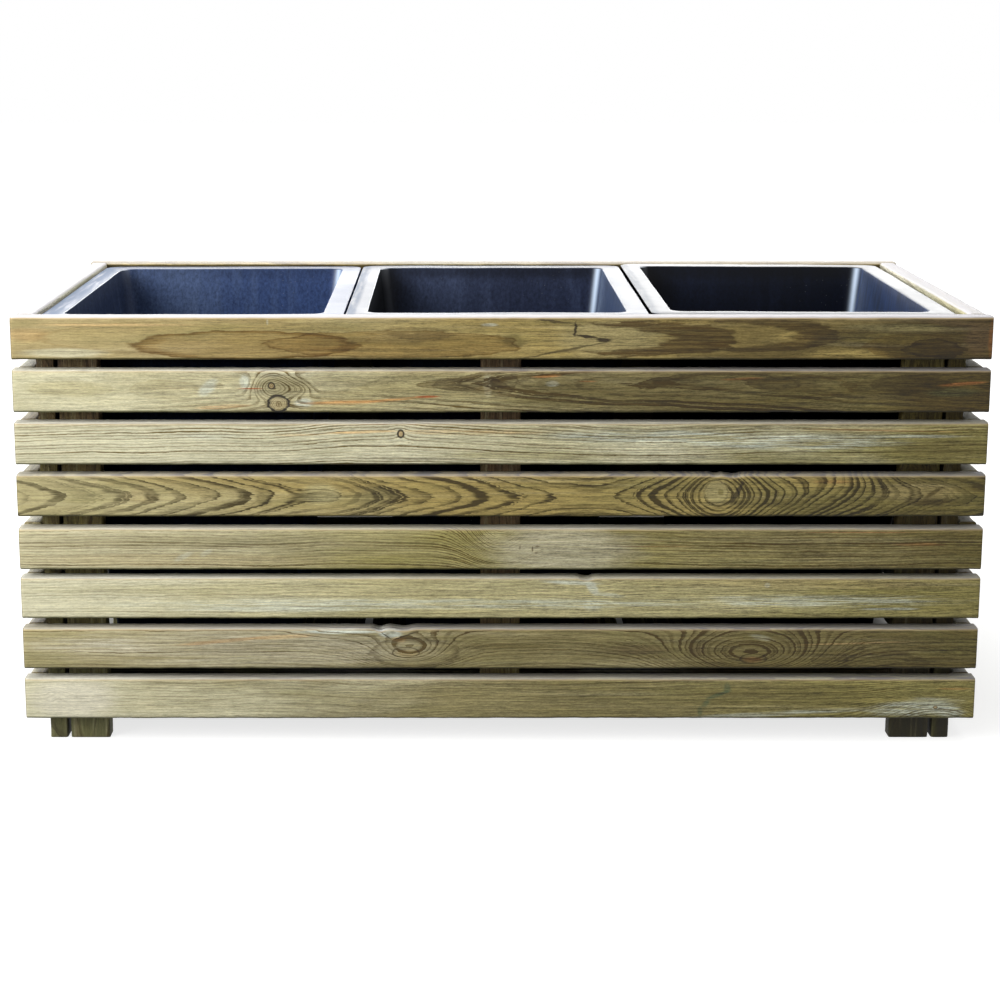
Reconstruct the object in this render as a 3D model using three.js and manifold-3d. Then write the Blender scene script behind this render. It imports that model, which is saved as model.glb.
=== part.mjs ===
// Rectangular wooden planter: four slatted panels on upright battens, a slatted floor,
// and three lift-out plastic pots that stand side by side inside.
// Millimetres. +X runs along the length, the front faces -Y, +Z is up.
// The origin is on the ground, under the middle of the planter.
import * as THREE from "three";
import { mergeVertices } from "three/addons/utils/BufferGeometryUtils.js";
import Module from "manifold-3d";

// Overall size
const LENGTH = 1000;
const DEPTH = 450;
const FOOT_RISE = 28;

// Slats, laid in level rows with a drip gap between them
const ROWS = 8;
const SLAT_HEIGHT = 45;
const SLAT_THICKNESS = 19;
const SLAT_GAP = 10;
const SLAT_EASING = 3;
const END_INSET = 1.5;

// Rows of the long panels that were nailed up a little out of line, and by how much
const FRONT_ROW_SHIFTS = { 5: -2 };
const BACK_ROW_SHIFTS = { 5: -2, 7: 4 };

// Upright battens behind the slats
const BATTEN_WIDTH = 42;
const BATTEN_THICKNESS = 19;
const BATTEN_EASING = 2;
const BATTEN_CORNER_GAP = 3;
const MIDDLE_BATTEN_RISE = 6;

// Floor inside the box, level with the bottom of the lowest slats
const BEARER_HEIGHT = 18;
const BEARER_THICKNESS = 19;
const FLOOR_BOARDS = 9;
const FLOOR_BOARD_THICKNESS = 19;
const FLOOR_BOARD_GAP = 11;
const FLOOR_END_CLEARANCE = 0.5;

// Plastic pots
const POT_NAMES = ["pot_left", "pot_middle", "pot_right"];
const POT_RIM_DROP = 3;
const POT_GAP = 2;
const POT_LEFT_CLEARANCE = 1.5;
const POT_RIGHT_CLEARANCE = 8.5;
const POT_FRONT_CLEARANCE = 6;
const POT_BODY_CLEARANCE = 2;
const POT_DRAFT_DEGREES = 6.5;
const POT_WALL = 2.5;
const POT_BASE = 3;
const POT_CORNER_RADIUS = 12;
const RIM_CORNER_RADIUS = 8;
const RIM_THICKNESS = 3;
const RIM_EASING = 1;
const LIP_DEPTH = 8;
const LIP_THICKNESS = 2.5;
const BASE_FILLET = 8;
const STAND_RING_WIDTH = 12;
const STAND_RING_RISE = 3;
const DRAIN_RADIUS = 5;
const DRAIN_ROWS = 2;
const DRAIN_COLUMNS = 3;
const SEAT_GAP = 0.3;

// Steps on round stretches
const EASING_STEPS = 3;
const CORNER_STEPS = 5;
const FILLET_STEPS = 3;
const DRAIN_SIDES = 16;

// Derived sizes
const rowPitch = SLAT_HEIGHT + SLAT_GAP;
const boxTop = FOOT_RISE + ROWS * rowPitch - SLAT_GAP;
const innerHalfLength = LENGTH / 2 - END_INSET - SLAT_THICKNESS;
const innerHalfDepth = DEPTH / 2 - SLAT_THICKNESS;
const rimTop = boxTop - POT_RIM_DROP;
const battenTop = rimTop - LIP_DEPTH - SEAT_GAP;
const battenFace = innerHalfDepth - BATTEN_THICKNESS;
const floorTop = FOOT_RISE + FLOOR_BOARD_THICKNESS;
const potHeight = rimTop - floorTop - SEAT_GAP;

const slatWood = new THREE.MeshStandardMaterial({ color: 0xb3a57c, roughness: 0.78, metalness: 0 });
const battenWood = new THREE.MeshStandardMaterial({ color: 0x8f8262, roughness: 0.85, metalness: 0 });
const potPlastic = new THREE.MeshStandardMaterial({ color: 0x161a22, roughness: 0.38, metalness: 0 });

const planter = new THREE.Group();

function addPiece(parent, name, geometry, material, x = 0, y = 0, z = 0) {
  const mesh = new THREE.Mesh(geometry, material);
  mesh.name = name;
  mesh.position.set(x, y, z);
  parent.add(mesh);
}

// A board's cross-section, centred on the origin, with its four long edges eased.
function boardSection(width, height, easing) {
  const right = width / 2;
  const top = height / 2;
  const quarter = Math.PI / 2;
  const section = new THREE.Shape();
  section.moveTo(right, -top + easing);
  section.absarc(right - easing, top - easing, easing, 0, quarter);
  section.absarc(-right + easing, top - easing, easing, quarter, 2 * quarter);
  section.absarc(-right + easing, -top + easing, easing, 2 * quarter, 3 * quarter);
  section.absarc(right - easing, -top + easing, easing, 3 * quarter, 4 * quarter);
  return section;
}

// A board of a given length, standing on the origin and running up +Z.
function board(width, height, easing, length) {
  const section = boardSection(width, height, easing);
  return new THREE.ExtrudeGeometry(section, {
    depth: length,
    steps: 1,
    curveSegments: EASING_STEPS,
    bevelEnabled: false,
  });
}

const X = new THREE.Vector3(1, 0, 0);
const Y = new THREE.Vector3(0, 1, 0);
const Z = new THREE.Vector3(0, 0, 1);

// Lays a board along +X: its width then runs along Y and its height along Z.
function alongX(geometry) {
  return geometry.applyMatrix4(new THREE.Matrix4().makeBasis(Y, Z, X));
}

// Lays a board along +Y: its width then runs along X and its height along Z.
function alongY(geometry) {
  return geometry.applyMatrix4(new THREE.Matrix4().makeBasis(X.clone().negate(), Z, Y));
}

function rowCentre(row) {
  return boxTop - SLAT_HEIGHT / 2 - (row - 1) * rowPitch;
}

// The four panels of slats. The front and back slats cover the ends of the side slats.
function addSlats() {
  const longSlat = alongX(board(SLAT_THICKNESS, SLAT_HEIGHT, SLAT_EASING, LENGTH));
  const sideSlat = alongY(board(SLAT_THICKNESS, SLAT_HEIGHT, SLAT_EASING, 2 * innerHalfDepth));
  const longCentre = (DEPTH - SLAT_THICKNESS) / 2;
  const sideCentre = innerHalfLength + SLAT_THICKNESS / 2;
  for (let row = 1; row <= ROWS; row += 1) {
    const z = rowCentre(row);
    const frontZ = z + (FRONT_ROW_SHIFTS[row] ?? 0);
    const backZ = z + (BACK_ROW_SHIFTS[row] ?? 0);
    addPiece(planter, `front_slat_${row}`, longSlat, slatWood, -LENGTH / 2, -longCentre, frontZ);
    addPiece(planter, `back_slat_${row}`, longSlat, slatWood, -LENGTH / 2, longCentre, backZ);
    addPiece(planter, `left_slat_${row}`, sideSlat, slatWood, -sideCentre, -innerHalfDepth, z);
    addPiece(planter, `right_slat_${row}`, sideSlat, slatWood, sideCentre, -innerHalfDepth, z);
  }
}

// Battens of the front and back panels lie flat on the slats. Those of the side panels
// do too, close to the corners. All but the middle ones reach the ground as feet.
function addBattens() {
  const footed = board(BATTEN_WIDTH, BATTEN_THICKNESS, BATTEN_EASING, battenTop);
  const middleFoot = FOOT_RISE + MIDDLE_BATTEN_RISE;
  const middle = board(BATTEN_WIDTH, BATTEN_THICKNESS, BATTEN_EASING, battenTop - middleFoot);
  const footedSide = board(BATTEN_THICKNESS, BATTEN_WIDTH, BATTEN_EASING, battenTop);
  const cornerX = innerHalfLength - BATTEN_THICKNESS - BATTEN_CORNER_GAP - BATTEN_WIDTH / 2;
  const panelY = innerHalfDepth - BATTEN_THICKNESS / 2;
  const sideX = innerHalfLength - BATTEN_THICKNESS / 2;
  const sideY = innerHalfDepth - BATTEN_WIDTH / 2;
  for (const [panel, ySide] of [["front", -1], ["back", 1]]) {
    addPiece(planter, `${panel}_batten_left`, footed, battenWood, -cornerX, ySide * panelY);
    addPiece(planter, `${panel}_batten_middle`, middle, battenWood, 0, ySide * panelY, middleFoot);
    addPiece(planter, `${panel}_batten_right`, footed, battenWood, cornerX, ySide * panelY);
    addPiece(planter, `left_batten_${panel}`, footedSide, battenWood, -sideX, ySide * sideY);
    addPiece(planter, `right_batten_${panel}`, footedSide, battenWood, sideX, ySide * sideY);
  }
}

// The pots stand in a row between the side panels, a little nearer the left one.
const potWidth =
  (2 * innerHalfLength - POT_LEFT_CLEARANCE - POT_RIGHT_CLEARANCE - (POT_NAMES.length - 1) * POT_GAP) /
  POT_NAMES.length;
const potDepth = 2 * (innerHalfDepth - POT_FRONT_CLEARANCE);

function potCentre(index) {
  return -innerHalfLength + POT_LEFT_CLEARANCE + potWidth / 2 + index * (potWidth + POT_GAP);
}

// Two bearers run between the side battens, on the inside of the front and back ones.
// The floor boards cross from front to back and are held up under the bearers.
function addFloor() {
  const floorLength = 2 * (innerHalfLength - BATTEN_THICKNESS);
  const bearer = alongX(board(BEARER_THICKNESS, BEARER_HEIGHT, BATTEN_EASING, floorLength));
  const bearerY = battenFace - BEARER_THICKNESS / 2;
  const bearerZ = floorTop + BEARER_HEIGHT / 2;
  addPiece(planter, "floor_bearer_front", bearer, battenWood, -floorLength / 2, -bearerY, bearerZ);
  addPiece(planter, "floor_bearer_back", bearer, battenWood, -floorLength / 2, bearerY, bearerZ);

  const boardPitch = (floorLength - FLOOR_BOARD_GAP) / FLOOR_BOARDS;
  const boardWidth = boardPitch - FLOOR_BOARD_GAP;
  const boardLength = 2 * (battenFace - FLOOR_END_CLEARANCE);
  const floorBoard = alongY(board(boardWidth, FLOOR_BOARD_THICKNESS, BATTEN_EASING, boardLength));
  const boardZ = floorTop - FLOOR_BOARD_THICKNESS / 2;
  for (let number = 1; number <= FLOOR_BOARDS; number += 1) {
    const x = (number - (FLOOR_BOARDS + 1) / 2) * boardPitch;
    addPiece(planter, `floor_board_${number}`, floorBoard, battenWood, x, -boardLength / 2, boardZ);
  }
}

const wasm = await Module();
wasm.setup();

// A closed three.js geometry as a solid that can be cut.
function solidOf(geometry) {
  const bare = geometry.clone();
  bare.deleteAttribute("normal");
  bare.deleteAttribute("uv");
  const merged = mergeVertices(bare);
  return new wasm.Manifold(
    new wasm.Mesh({
      numProp: 3,
      vertProperties: merged.attributes.position.array,
      triVerts: new Uint32Array(merged.index.array),
    }),
  );
}

function geometryOf(solid) {
  const mesh = solid.getMesh();
  const geometry = new THREE.BufferGeometry();
  geometry.setAttribute("position", new THREE.BufferAttribute(mesh.vertProperties, 3));
  geometry.setIndex(new THREE.BufferAttribute(mesh.triVerts, 1));
  geometry.computeVertexNormals();
  return geometry;
}

// One level ring of a pot: a rectangle with round corners, anticlockwise from above.
function roundedRing(halfWidth, halfDepth, radius, z) {
  const points = [];
  const corners = [
    [1, 1],
    [-1, 1],
    [-1, -1],
    [1, -1],
  ];
  corners.forEach(([sideX, sideY], corner) => {
    for (let step = 0; step <= CORNER_STEPS; step += 1) {
      const angle = ((corner + step / CORNER_STEPS) * Math.PI) / 2;
      const x = sideX * (halfWidth - radius) + radius * Math.cos(angle);
      const y = sideY * (halfDepth - radius) + radius * Math.sin(angle);
      points.push(new THREE.Vector3(x, y, z));
    }
  });
  return points;
}

// A closed skin through rings of equal length. The first ring is capped underneath
// and the last one from above, each with a fan about its centre.
function loft(rings) {
  const count = rings[0].length;
  const positions = [];
  const push = (...points) => points.forEach((point) => positions.push(point.x, point.y, point.z));
  for (let level = 0; level + 1 < rings.length; level += 1) {
    for (let k = 0; k < count; k += 1) {
      const next = (k + 1) % count;
      const [a, b] = [rings[level][k], rings[level][next]];
      const [c, d] = [rings[level + 1][next], rings[level + 1][k]];
      push(a, b, c);
      push(a, c, d);
    }
  }
  const first = rings[0];
  const last = rings[rings.length - 1];
  for (let k = 0; k < count; k += 1) {
    const next = (k + 1) % count;
    push(new THREE.Vector3(0, 0, first[0].z), first[next], first[k]);
    push(new THREE.Vector3(0, 0, last[0].z), last[k], last[next]);
  }
  const geometry = new THREE.BufferGeometry();
  geometry.setAttribute("position", new THREE.Float32BufferAttribute(positions, 3));
  return geometry;
}

// The pot's wall starts in from the rim's edge, so that it passes the side battens.
const rimOverhang = BATTEN_THICKNESS + POT_BODY_CLEARANCE - POT_LEFT_CLEARANCE;
const draft = Math.tan(THREE.MathUtils.degToRad(POT_DRAFT_DEGREES));

function wallInset(z) {
  return rimOverhang - z * draft;
}

// The moulded shell of a pot, with the top of its rim at z = 0: standing ring, filleted
// base, drafted walls with round corners, and a flat rim with a turned-down lip.
function potShell() {
  const base = -potHeight;
  const floor = base + STAND_RING_RISE + POT_BASE;
  const rings = [];
  const addRing = (inset, z, radius) =>
    rings.push(roundedRing(potWidth / 2 - inset, potDepth / 2 - inset, radius, z));

  const standInset = wallInset(base) + BASE_FILLET;
  addRing(standInset + STAND_RING_WIDTH + STAND_RING_RISE, base + STAND_RING_RISE, POT_CORNER_RADIUS);
  addRing(standInset + STAND_RING_WIDTH, base, POT_CORNER_RADIUS);
  for (let step = 0; step <= FILLET_STEPS; step += 1) {
    const angle = (step / FILLET_STEPS) * (Math.PI / 2);
    const z = base + BASE_FILLET * (1 - Math.cos(angle));
    addRing(wallInset(z) + BASE_FILLET * (1 - Math.sin(angle)), z, POT_CORNER_RADIUS);
  }
  addRing(wallInset(-RIM_THICKNESS), -RIM_THICKNESS, POT_CORNER_RADIUS);
  addRing(LIP_THICKNESS, -RIM_THICKNESS, RIM_CORNER_RADIUS - LIP_THICKNESS);
  addRing(LIP_THICKNESS, -LIP_DEPTH, RIM_CORNER_RADIUS - LIP_THICKNESS);
  addRing(0, -LIP_DEPTH, RIM_CORNER_RADIUS);
  addRing(0, -RIM_EASING, RIM_CORNER_RADIUS);
  addRing(RIM_EASING, 0, RIM_CORNER_RADIUS - RIM_EASING);
  addRing(wallInset(0) + POT_WALL - RIM_EASING, 0, POT_CORNER_RADIUS - POT_WALL + RIM_EASING);
  addRing(wallInset(-RIM_EASING) + POT_WALL, -RIM_EASING, POT_CORNER_RADIUS - POT_WALL);
  for (let step = 0; step <= FILLET_STEPS; step += 1) {
    const angle = (step / FILLET_STEPS) * (Math.PI / 2);
    const z = floor + BASE_FILLET * (1 - Math.sin(angle));
    addRing(wallInset(z) + POT_WALL + BASE_FILLET * (1 - Math.cos(angle)), z, POT_CORNER_RADIUS - POT_WALL);
  }
  return loft(rings);
}

// Drainage holes go through the base in rows, inside the standing ring.
function drainedPot() {
  let pot = solidOf(potShell());
  const reach = standRingInside();
  const depth = POT_BASE + STAND_RING_RISE + 2 * BASE_FILLET;
  for (let row = 0; row < DRAIN_ROWS; row += 1) {
    for (let column = 0; column < DRAIN_COLUMNS; column += 1) {
      const hole = new THREE.CylinderGeometry(DRAIN_RADIUS, DRAIN_RADIUS, depth, DRAIN_SIDES);
      hole.rotateX(Math.PI / 2);
      const x = (row - (DRAIN_ROWS - 1) / 2) * reach.x;
      const y = (column - (DRAIN_COLUMNS - 1) / 2) * reach.y;
      hole.translate(x, y, -potHeight);
      pot = pot.subtract(solidOf(hole));
    }
  }
  return geometryOf(pot);
}

// Spacing of the drainage holes along each side, from the space inside the standing ring.
function standRingInside() {
  const inset = wallInset(-potHeight) + BASE_FILLET + STAND_RING_WIDTH + STAND_RING_RISE;
  const x = (potWidth - 2 * inset) / DRAIN_ROWS;
  const y = (potDepth - 2 * inset) / DRAIN_COLUMNS;
  return { x, y };
}

function addPots() {
  const pot = drainedPot();
  POT_NAMES.forEach((name, index) => {
    addPiece(planter, name, pot, potPlastic, potCentre(index), 0, rimTop);
  });
}

addSlats();
addBattens();
addFloor();
addPots();

export default planter;
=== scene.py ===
"""A rectangular slatted planter of treated softwood, with three lift-out plastic pots.

Everything is in metres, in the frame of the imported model: +X runs along the length, the
front faces -Y and +Z is up. Inside the wood's finish, lengths are in millimetres.
"""

import math
import random

import bmesh
import bpy
from mathutils import Matrix, Vector, noise


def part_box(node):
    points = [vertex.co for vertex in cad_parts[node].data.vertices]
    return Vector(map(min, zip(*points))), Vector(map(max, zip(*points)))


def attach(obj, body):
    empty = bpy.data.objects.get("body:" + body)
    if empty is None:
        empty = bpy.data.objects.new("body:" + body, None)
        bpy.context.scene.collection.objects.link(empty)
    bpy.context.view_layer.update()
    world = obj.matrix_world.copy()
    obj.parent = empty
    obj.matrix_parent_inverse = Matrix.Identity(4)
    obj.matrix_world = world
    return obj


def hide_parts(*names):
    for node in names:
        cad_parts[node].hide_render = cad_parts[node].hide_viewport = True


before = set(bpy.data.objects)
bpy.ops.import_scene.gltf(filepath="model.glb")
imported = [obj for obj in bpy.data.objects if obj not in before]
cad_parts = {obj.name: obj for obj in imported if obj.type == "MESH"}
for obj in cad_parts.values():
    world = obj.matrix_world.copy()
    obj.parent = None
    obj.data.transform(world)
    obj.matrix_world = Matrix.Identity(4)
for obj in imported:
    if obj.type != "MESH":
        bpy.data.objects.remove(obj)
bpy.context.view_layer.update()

MM = 0.001

# Camera, from a fit of the box's corners, slat ends and feet to the photograph
CAMERA_PLACE = (-0.0465, -2.1062, 0.7531)
CAMERA_PITCH_DEGREES = 10.242
FOCAL_PIXELS = 1875.5
PHOTO_PIXELS = 1000
SENSOR_WIDTH = 36
CAMERA_SHIFT = (0.0441, -0.14)

# Light
AMBIENT = 0.22
FLOOR_REACH = 12.0
FLOOR_COLOUR = (0.34, 0.34, 0.33, 1)
# The floor's glow is painted down into a shadow round the box, and is gone under it
SHADE_MIDDLE = (0.0, 0.115)
SHADE_HALF_SIZE = (0.5, 0.165)
SHADE_FADE = (0.02, 0.4)
SHADE_CORE_FADE = (0.0, 0.05)
SHADOW_GLOW = 0.72

# Boards. The mesh step is along, through and up.
SLAT_EASING = 3 * MM
BATTEN_EASING = 2 * MM
END_EASING = 0.7 * MM
ARRIS_SEGMENTS = 4
MESH_STEP = (4 * MM, 5 * MM, 5 * MM)
FACE_WEAR = 0.15 * MM
ARRIS_WEAR = 0.35 * MM
SHARP_DEGREES = 40
TOUCHING = 1e-6

# Pots
RIM_WIDTH = 19.5 * MM
POT_WALL = 2.5 * MM
POT_BASE = 3 * MM
POT_DRAFT = math.tan(math.radians(6.5))
RIM_RADIUS = 8 * MM
RIM_THICKNESS = 3 * MM
RIM_EASING = 1.2 * MM
LIP_DEPTH = 8 * MM
LIP_THICKNESS = 2.5 * MM
BASE_FILLET = 8 * MM
STAND_WIDTH = 12 * MM
STAND_RISE = 3 * MM
DRAIN_RADIUS = 5 * MM
DRAIN_PLACES = [(x, y) for x in (-0.5, 0.5) for y in (-1, 0, 1)]

# Screws
SCREW_RADIUS = 4 * MM
SCREW_SINK = 2.6 * MM
SCREW_SIDES = 12
# Where the screws go: beside and above a slat's middle, and beside a floor board's middle
SLAT_SCREW_OFFSET = (10 * MM, 11 * MM)
FLOOR_SCREW_OFFSET = 28 * MM
CLEAR_OF_TOP = 5 * MM


def linear(red, green, blue):
    """A colour written as it looks on a screen, 0 to 255, as the shader wants it."""
    return (*((part / 255) ** 2.2 for part in (red, green, blue)), 1)


# What every part is made with


def placed(name, data):
    """A mesh, light or lens as an object of the scene."""
    thing = bpy.data.objects.new(name, data)
    bpy.context.scene.collection.objects.link(thing)
    return thing


def mesh_of(name, shape):
    """A bmesh made a mesh, and freed."""
    mesh = bpy.data.meshes.new(name)
    shape.to_mesh(mesh)
    shape.free()
    return mesh


# Formulas as nodes


def plug(tree, socket, value):
    if isinstance(value, Signal):
        tree.links.new(value.socket, socket)
    else:
        socket.default_value = value


class Signal:
    """A number, a point or a colour over a surface. Sums and products of it add nodes."""

    def __init__(self, tree, socket):
        self.tree = tree
        self.socket = socket

    def make(self, kind, values, output=0, **settings):
        node = self.tree.nodes.new("ShaderNode" + kind)
        for name, setting in settings.items():
            setattr(node, name, setting)
        for key, value in values.items():
            plug(self.tree, node.inputs[key], value)
        return Signal(self.tree, node.outputs[output])

    def math(self, operation, *others):
        return self.make("Math", dict(enumerate((self, *others))), operation=operation)

    def __add__(self, other):
        return self.math("ADD", other)

    def __sub__(self, other):
        return self.math("SUBTRACT", other)

    def __rsub__(self, other):
        return self.math("MULTIPLY_ADD", -1, other)

    def __mul__(self, other):
        return self.math("MULTIPLY", other)

    def __truediv__(self, other):
        return self.math("DIVIDE", other)

    __radd__ = __add__
    __rmul__ = __mul__

    def diagonal(self, other):
        """How far two distances at right angles reach together."""
        return (self * self + other * other).math("SQRT")

    def bell(self):
        """1 where this is 0, falling away smoothly on both sides."""
        return (self * self * -1).math("EXPONENT")

    def rise(self, low, high):
        """0 up to low, 1 from high on, and a smooth climb between them."""
        values = {0: self, 1: low, 2: high}
        return self.make("MapRange", values, interpolation_type="SMOOTHSTEP")

    def parts(self):
        node = self.tree.nodes.new("ShaderNodeSeparateXYZ")
        plug(self.tree, node.inputs[0], self)
        return [Signal(self.tree, output) for output in node.outputs]

    def stretched(self, x, y, z, seed=0.0):
        """This point with each axis scaled, moved away by a seed."""
        scaled = self.make("VectorMath", {0: self, 1: (x, y, z)}, operation="MULTIPLY")
        if not isinstance(seed, Signal):
            seed = (seed, seed, seed)
        return self.make("VectorMath", {0: scaled, 1: seed}, operation="ADD")

    def noise(self, detail=2.0, roughness=0.5):
        values = {"Vector": self, "Scale": 1.0, "Detail": detail, "Roughness": roughness}
        return self.make("TexNoise", values)

    def toward(self, other, amount, kind="MIX"):
        """This colour mixed with another one."""
        values = {0: amount, 6: self, 7: other}
        return self.make("Mix", values, output=2, data_type="RGBA", blend_type=kind)

    def between(self, first, second):
        """The first colour where this is 0, the second where it is 1."""
        return self.make("Mix", {0: self, 6: first, 7: second}, output=2, data_type="RGBA")

    def shaded(self, amount):
        """This colour made lighter or darker by a factor."""
        return self.make("VectorMath", {0: self, 1: amount}, operation="MULTIPLY")


class Recipe:
    """A node group: its inputs are read as signals, and its outputs are filled in once.

    Every recipe takes a point. Its other numbers and colours are given as words.
    """

    def __init__(self, name, numbers, gives, colours=""):
        self.tree = bpy.data.node_groups.new(name, "ShaderNodeTree")
        self.add_sockets("INPUT", "Vector", ["point"])
        self.add_sockets("INPUT", "Float", numbers.split())
        self.add_sockets("INPUT", "Color", colours.split())
        for word in gives.split():
            self.add_sockets("OUTPUT", "Color" if word == "colour" else "Float", [word])
        self.start = self.tree.nodes.new("NodeGroupInput")
        self.end = self.tree.nodes.new("NodeGroupOutput")

    def add_sockets(self, direction, kind, names):
        for name in names:
            self.tree.interface.new_socket(name, in_out=direction, socket_type="NodeSocket" + kind)

    def __getitem__(self, name):
        return Signal(self.tree, self.start.outputs[name])

    def give(self, **results):
        for name, value in results.items():
            plug(self.tree, self.end.inputs[name], value)

    def used(self, tree, values):
        """This recipe with some values in another tree, as its results by name."""
        node = tree.nodes.new("ShaderNodeGroup")
        node.node_tree = self.tree
        for name, value in values.items():
            plug(tree, node.inputs[name], value)
        return {output.name: Signal(tree, output) for output in node.outputs}


def blank_finish(name):
    """A new material, its main shader, and where on the planter each point is."""
    material = bpy.data.materials.new(name)
    material.use_nodes = True
    surface = material.node_tree.nodes["Principled BSDF"]
    place = material.node_tree.nodes.new("ShaderNodeTexCoord")
    return material, surface, Signal(material.node_tree, place.outputs["Object"])


def facing(tree):
    """How far the surface faces right, back and up."""
    geometry = tree.nodes.new("ShaderNodeNewGeometry")
    return Signal(tree, geometry.outputs["Normal"]).parts()


def dress(tree, surface, colour, roughness):
    plug(tree, surface.inputs["Base Color"], colour)
    plug(tree, surface.inputs["Roughness"], roughness)


def emboss(tree, surface, relief, depth):
    """Fine relief, its depth in millimetres."""
    bump = tree.nodes.new("ShaderNodeBump")
    bump.inputs["Distance"].default_value = depth * MM
    plug(tree, bump.inputs["Height"], relief)
    tree.links.new(bump.outputs[0], surface.inputs["Normal"])


# Softwood

PALE_STREAK = linear(212, 202, 162)
DAMP_STREAK = linear(118, 116, 70)
LATEWOOD = linear(132, 116, 82)
SMOKY_LATEWOOD = linear(96, 90, 64)
KNOT_HEART = linear(176, 150, 104)
KNOT_BARK = linear(26, 22, 20)
# Weathered grey of the tops, which also stands for painted light from the sky on them
WEATHERED_AND_LIT_TOP = linear(194, 192, 196)
RUBBED_ARRIS = linear(188, 164, 122)
SIDE_ARRIS = linear(108, 102, 76)
BACK_ARRIS = linear(176, 146, 96)
# Painted shade on faces that point down
PAINTED_UNDERSIDE_SHADE = linear(92, 96, 62)
# Painted shade on boards' inner faces inside the box
PAINTED_INNER_SHADE = linear(100, 96, 72)
SAWN_END = linear(150, 138, 104)

# How far a board's top goes pale, by weathering and by painted light from the sky: open to the sky,
# under the next slat (less, as painted shade), inside the box
OPEN = 0.9
SHELTERED = 0.38
INSIDE = 0.0

WOOD_SHINE = 0.28
WOOD_RELIEF = 0.35


def growth_rings():
    """How far a point was from the middle of the tree, in millimetres."""
    recipe = Recipe("growth rings", "pith_up pith_in taper crest wander wave seed", "radius")
    point = recipe["point"]
    seed = recipe["seed"]
    along, inward, up = point.parts()
    slow = point.stretched(0.0035, 0.0035, 0.0035, seed).noise(1) - 0.5
    sway = point.stretched(0.0045, 0.0045, 0.0045, seed + 31).noise(1) - 0.5
    across = up - recipe["pith_up"] + slow * recipe["wander"]
    beneath = inward - recipe["pith_in"] + sway * recipe["wander"]
    round_pith = across.diagonal(beneath)
    from_crest = along - recipe["crest"]
    climb = (from_crest * from_crest + 3600).math("SQRT") * recipe["taper"]
    waves = (point.stretched(0.012, 0.03, 0.05, seed + 7).noise(2) - 0.5) * recipe["wave"]
    recipe.give(radius=round_pith + climb + waves)
    return recipe


def swell():
    """Pushes the rings out round a place, so that they close into an eye there."""
    recipe = Recipe("swell in the grain", "radius along up length height amount", "radius")
    along, _, up = recipe["point"].parts()
    far_along = (along - recipe["along"]) / recipe["length"]
    far_up = (up - recipe["up"]) / recipe["height"]
    reach = far_along.diagonal(far_up)
    recipe.give(radius=recipe["radius"] + reach.bell() * recipe["amount"])
    return recipe


def calm():
    """Weakens the rings along a stretch of the board."""
    recipe = Recipe("calm stretch", "contrast along length amount", "contrast")
    along, _, _ = recipe["point"].parts()
    near = ((along - recipe["along"]) / recipe["length"]).bell()
    recipe.give(contrast=recipe["contrast"] * (1 - near * recipe["amount"]))
    return recipe


def knot():
    """A branch cut across: the rings bend round it and it has small rings of its own."""
    numbers = "radius core bark ring along up size stretch push ragged rings heart edge rim stray"
    recipe = Recipe("knot", numbers, "radius core bark")
    along, _, up = recipe["point"].parts()
    far_along = (along - recipe["along"]) / (recipe["size"] * recipe["stretch"])
    far_up = (up - recipe["up"]) / recipe["size"]
    reach = far_along.diagonal(far_up) + recipe["ragged"] * recipe["stray"]
    bent = recipe["radius"] + recipe["push"] / (reach * reach * 0.4 + 1)
    core = 1 - reach.rise(0.88, 1.0)
    own_rings = reach * recipe["rings"] * recipe["ring"]
    rim = recipe["rim"]
    bark = reach.rise(1 - rim * 2, 1 - rim * 0.7) * (1 - reach.rise(rim * 0.2 + 1, rim + 1))
    recipe.give(
        radius=bent * (1 - core) + own_rings * core,
        core=(core * recipe["heart"]).math("MAXIMUM", recipe["core"]),
        bark=(bark * recipe["edge"]).math("MAXIMUM", recipe["bark"]),
    )
    return recipe


def ground_tone():
    """The wood's colour before its rings: three tones along the board, mottled. On the front slats the
    tones also carry a painted fall of light, pale at the left and dark at the right.
    """
    recipe = Recipe("ground tone", "half_length seed", "colour", "left middle right")
    point = recipe["point"]
    seed = recipe["seed"]
    along, _, _ = point.parts()
    clouds = point.stretched(0.006, 0.02, 0.03, seed + 3).noise(3) - 0.5
    share = along / recipe["half_length"] + clouds * 1.6
    colour = recipe["left"].toward(recipe["middle"], share.rise(-1.0, 0.05))
    colour = colour.toward(recipe["right"], share.rise(-0.05, 1.0))
    streaks = point.stretched(0.004, 0.12, 0.16, seed + 11).noise(4)
    colour = colour.toward(PALE_STREAK, streaks.rise(0.5, 0.8) * 0.3)
    damp = point.stretched(0.01, 0.04, 0.05, seed + 19).noise(3)
    colour = colour.toward(DAMP_STREAK, damp.rise(0.5, 0.8) * 0.4)
    recipe.give(colour=colour)
    return recipe


def unevenness():
    """How an edge across the grain strays, and where single fibres take up a stain."""
    recipe = Recipe("unevenness", "seed", "ragged fibres")
    point = recipe["point"]
    coarse = point.stretched(0.03, 0.12, 0.18, recipe["seed"]).noise(4, 0.6) - 0.5
    fibres = point.stretched(0.02, 0.5, 0.9, recipe["seed"] + 5).noise(3).rise(0.38, 0.62)
    recipe.give(ragged=coarse, fibres=fibres)
    return recipe


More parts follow.
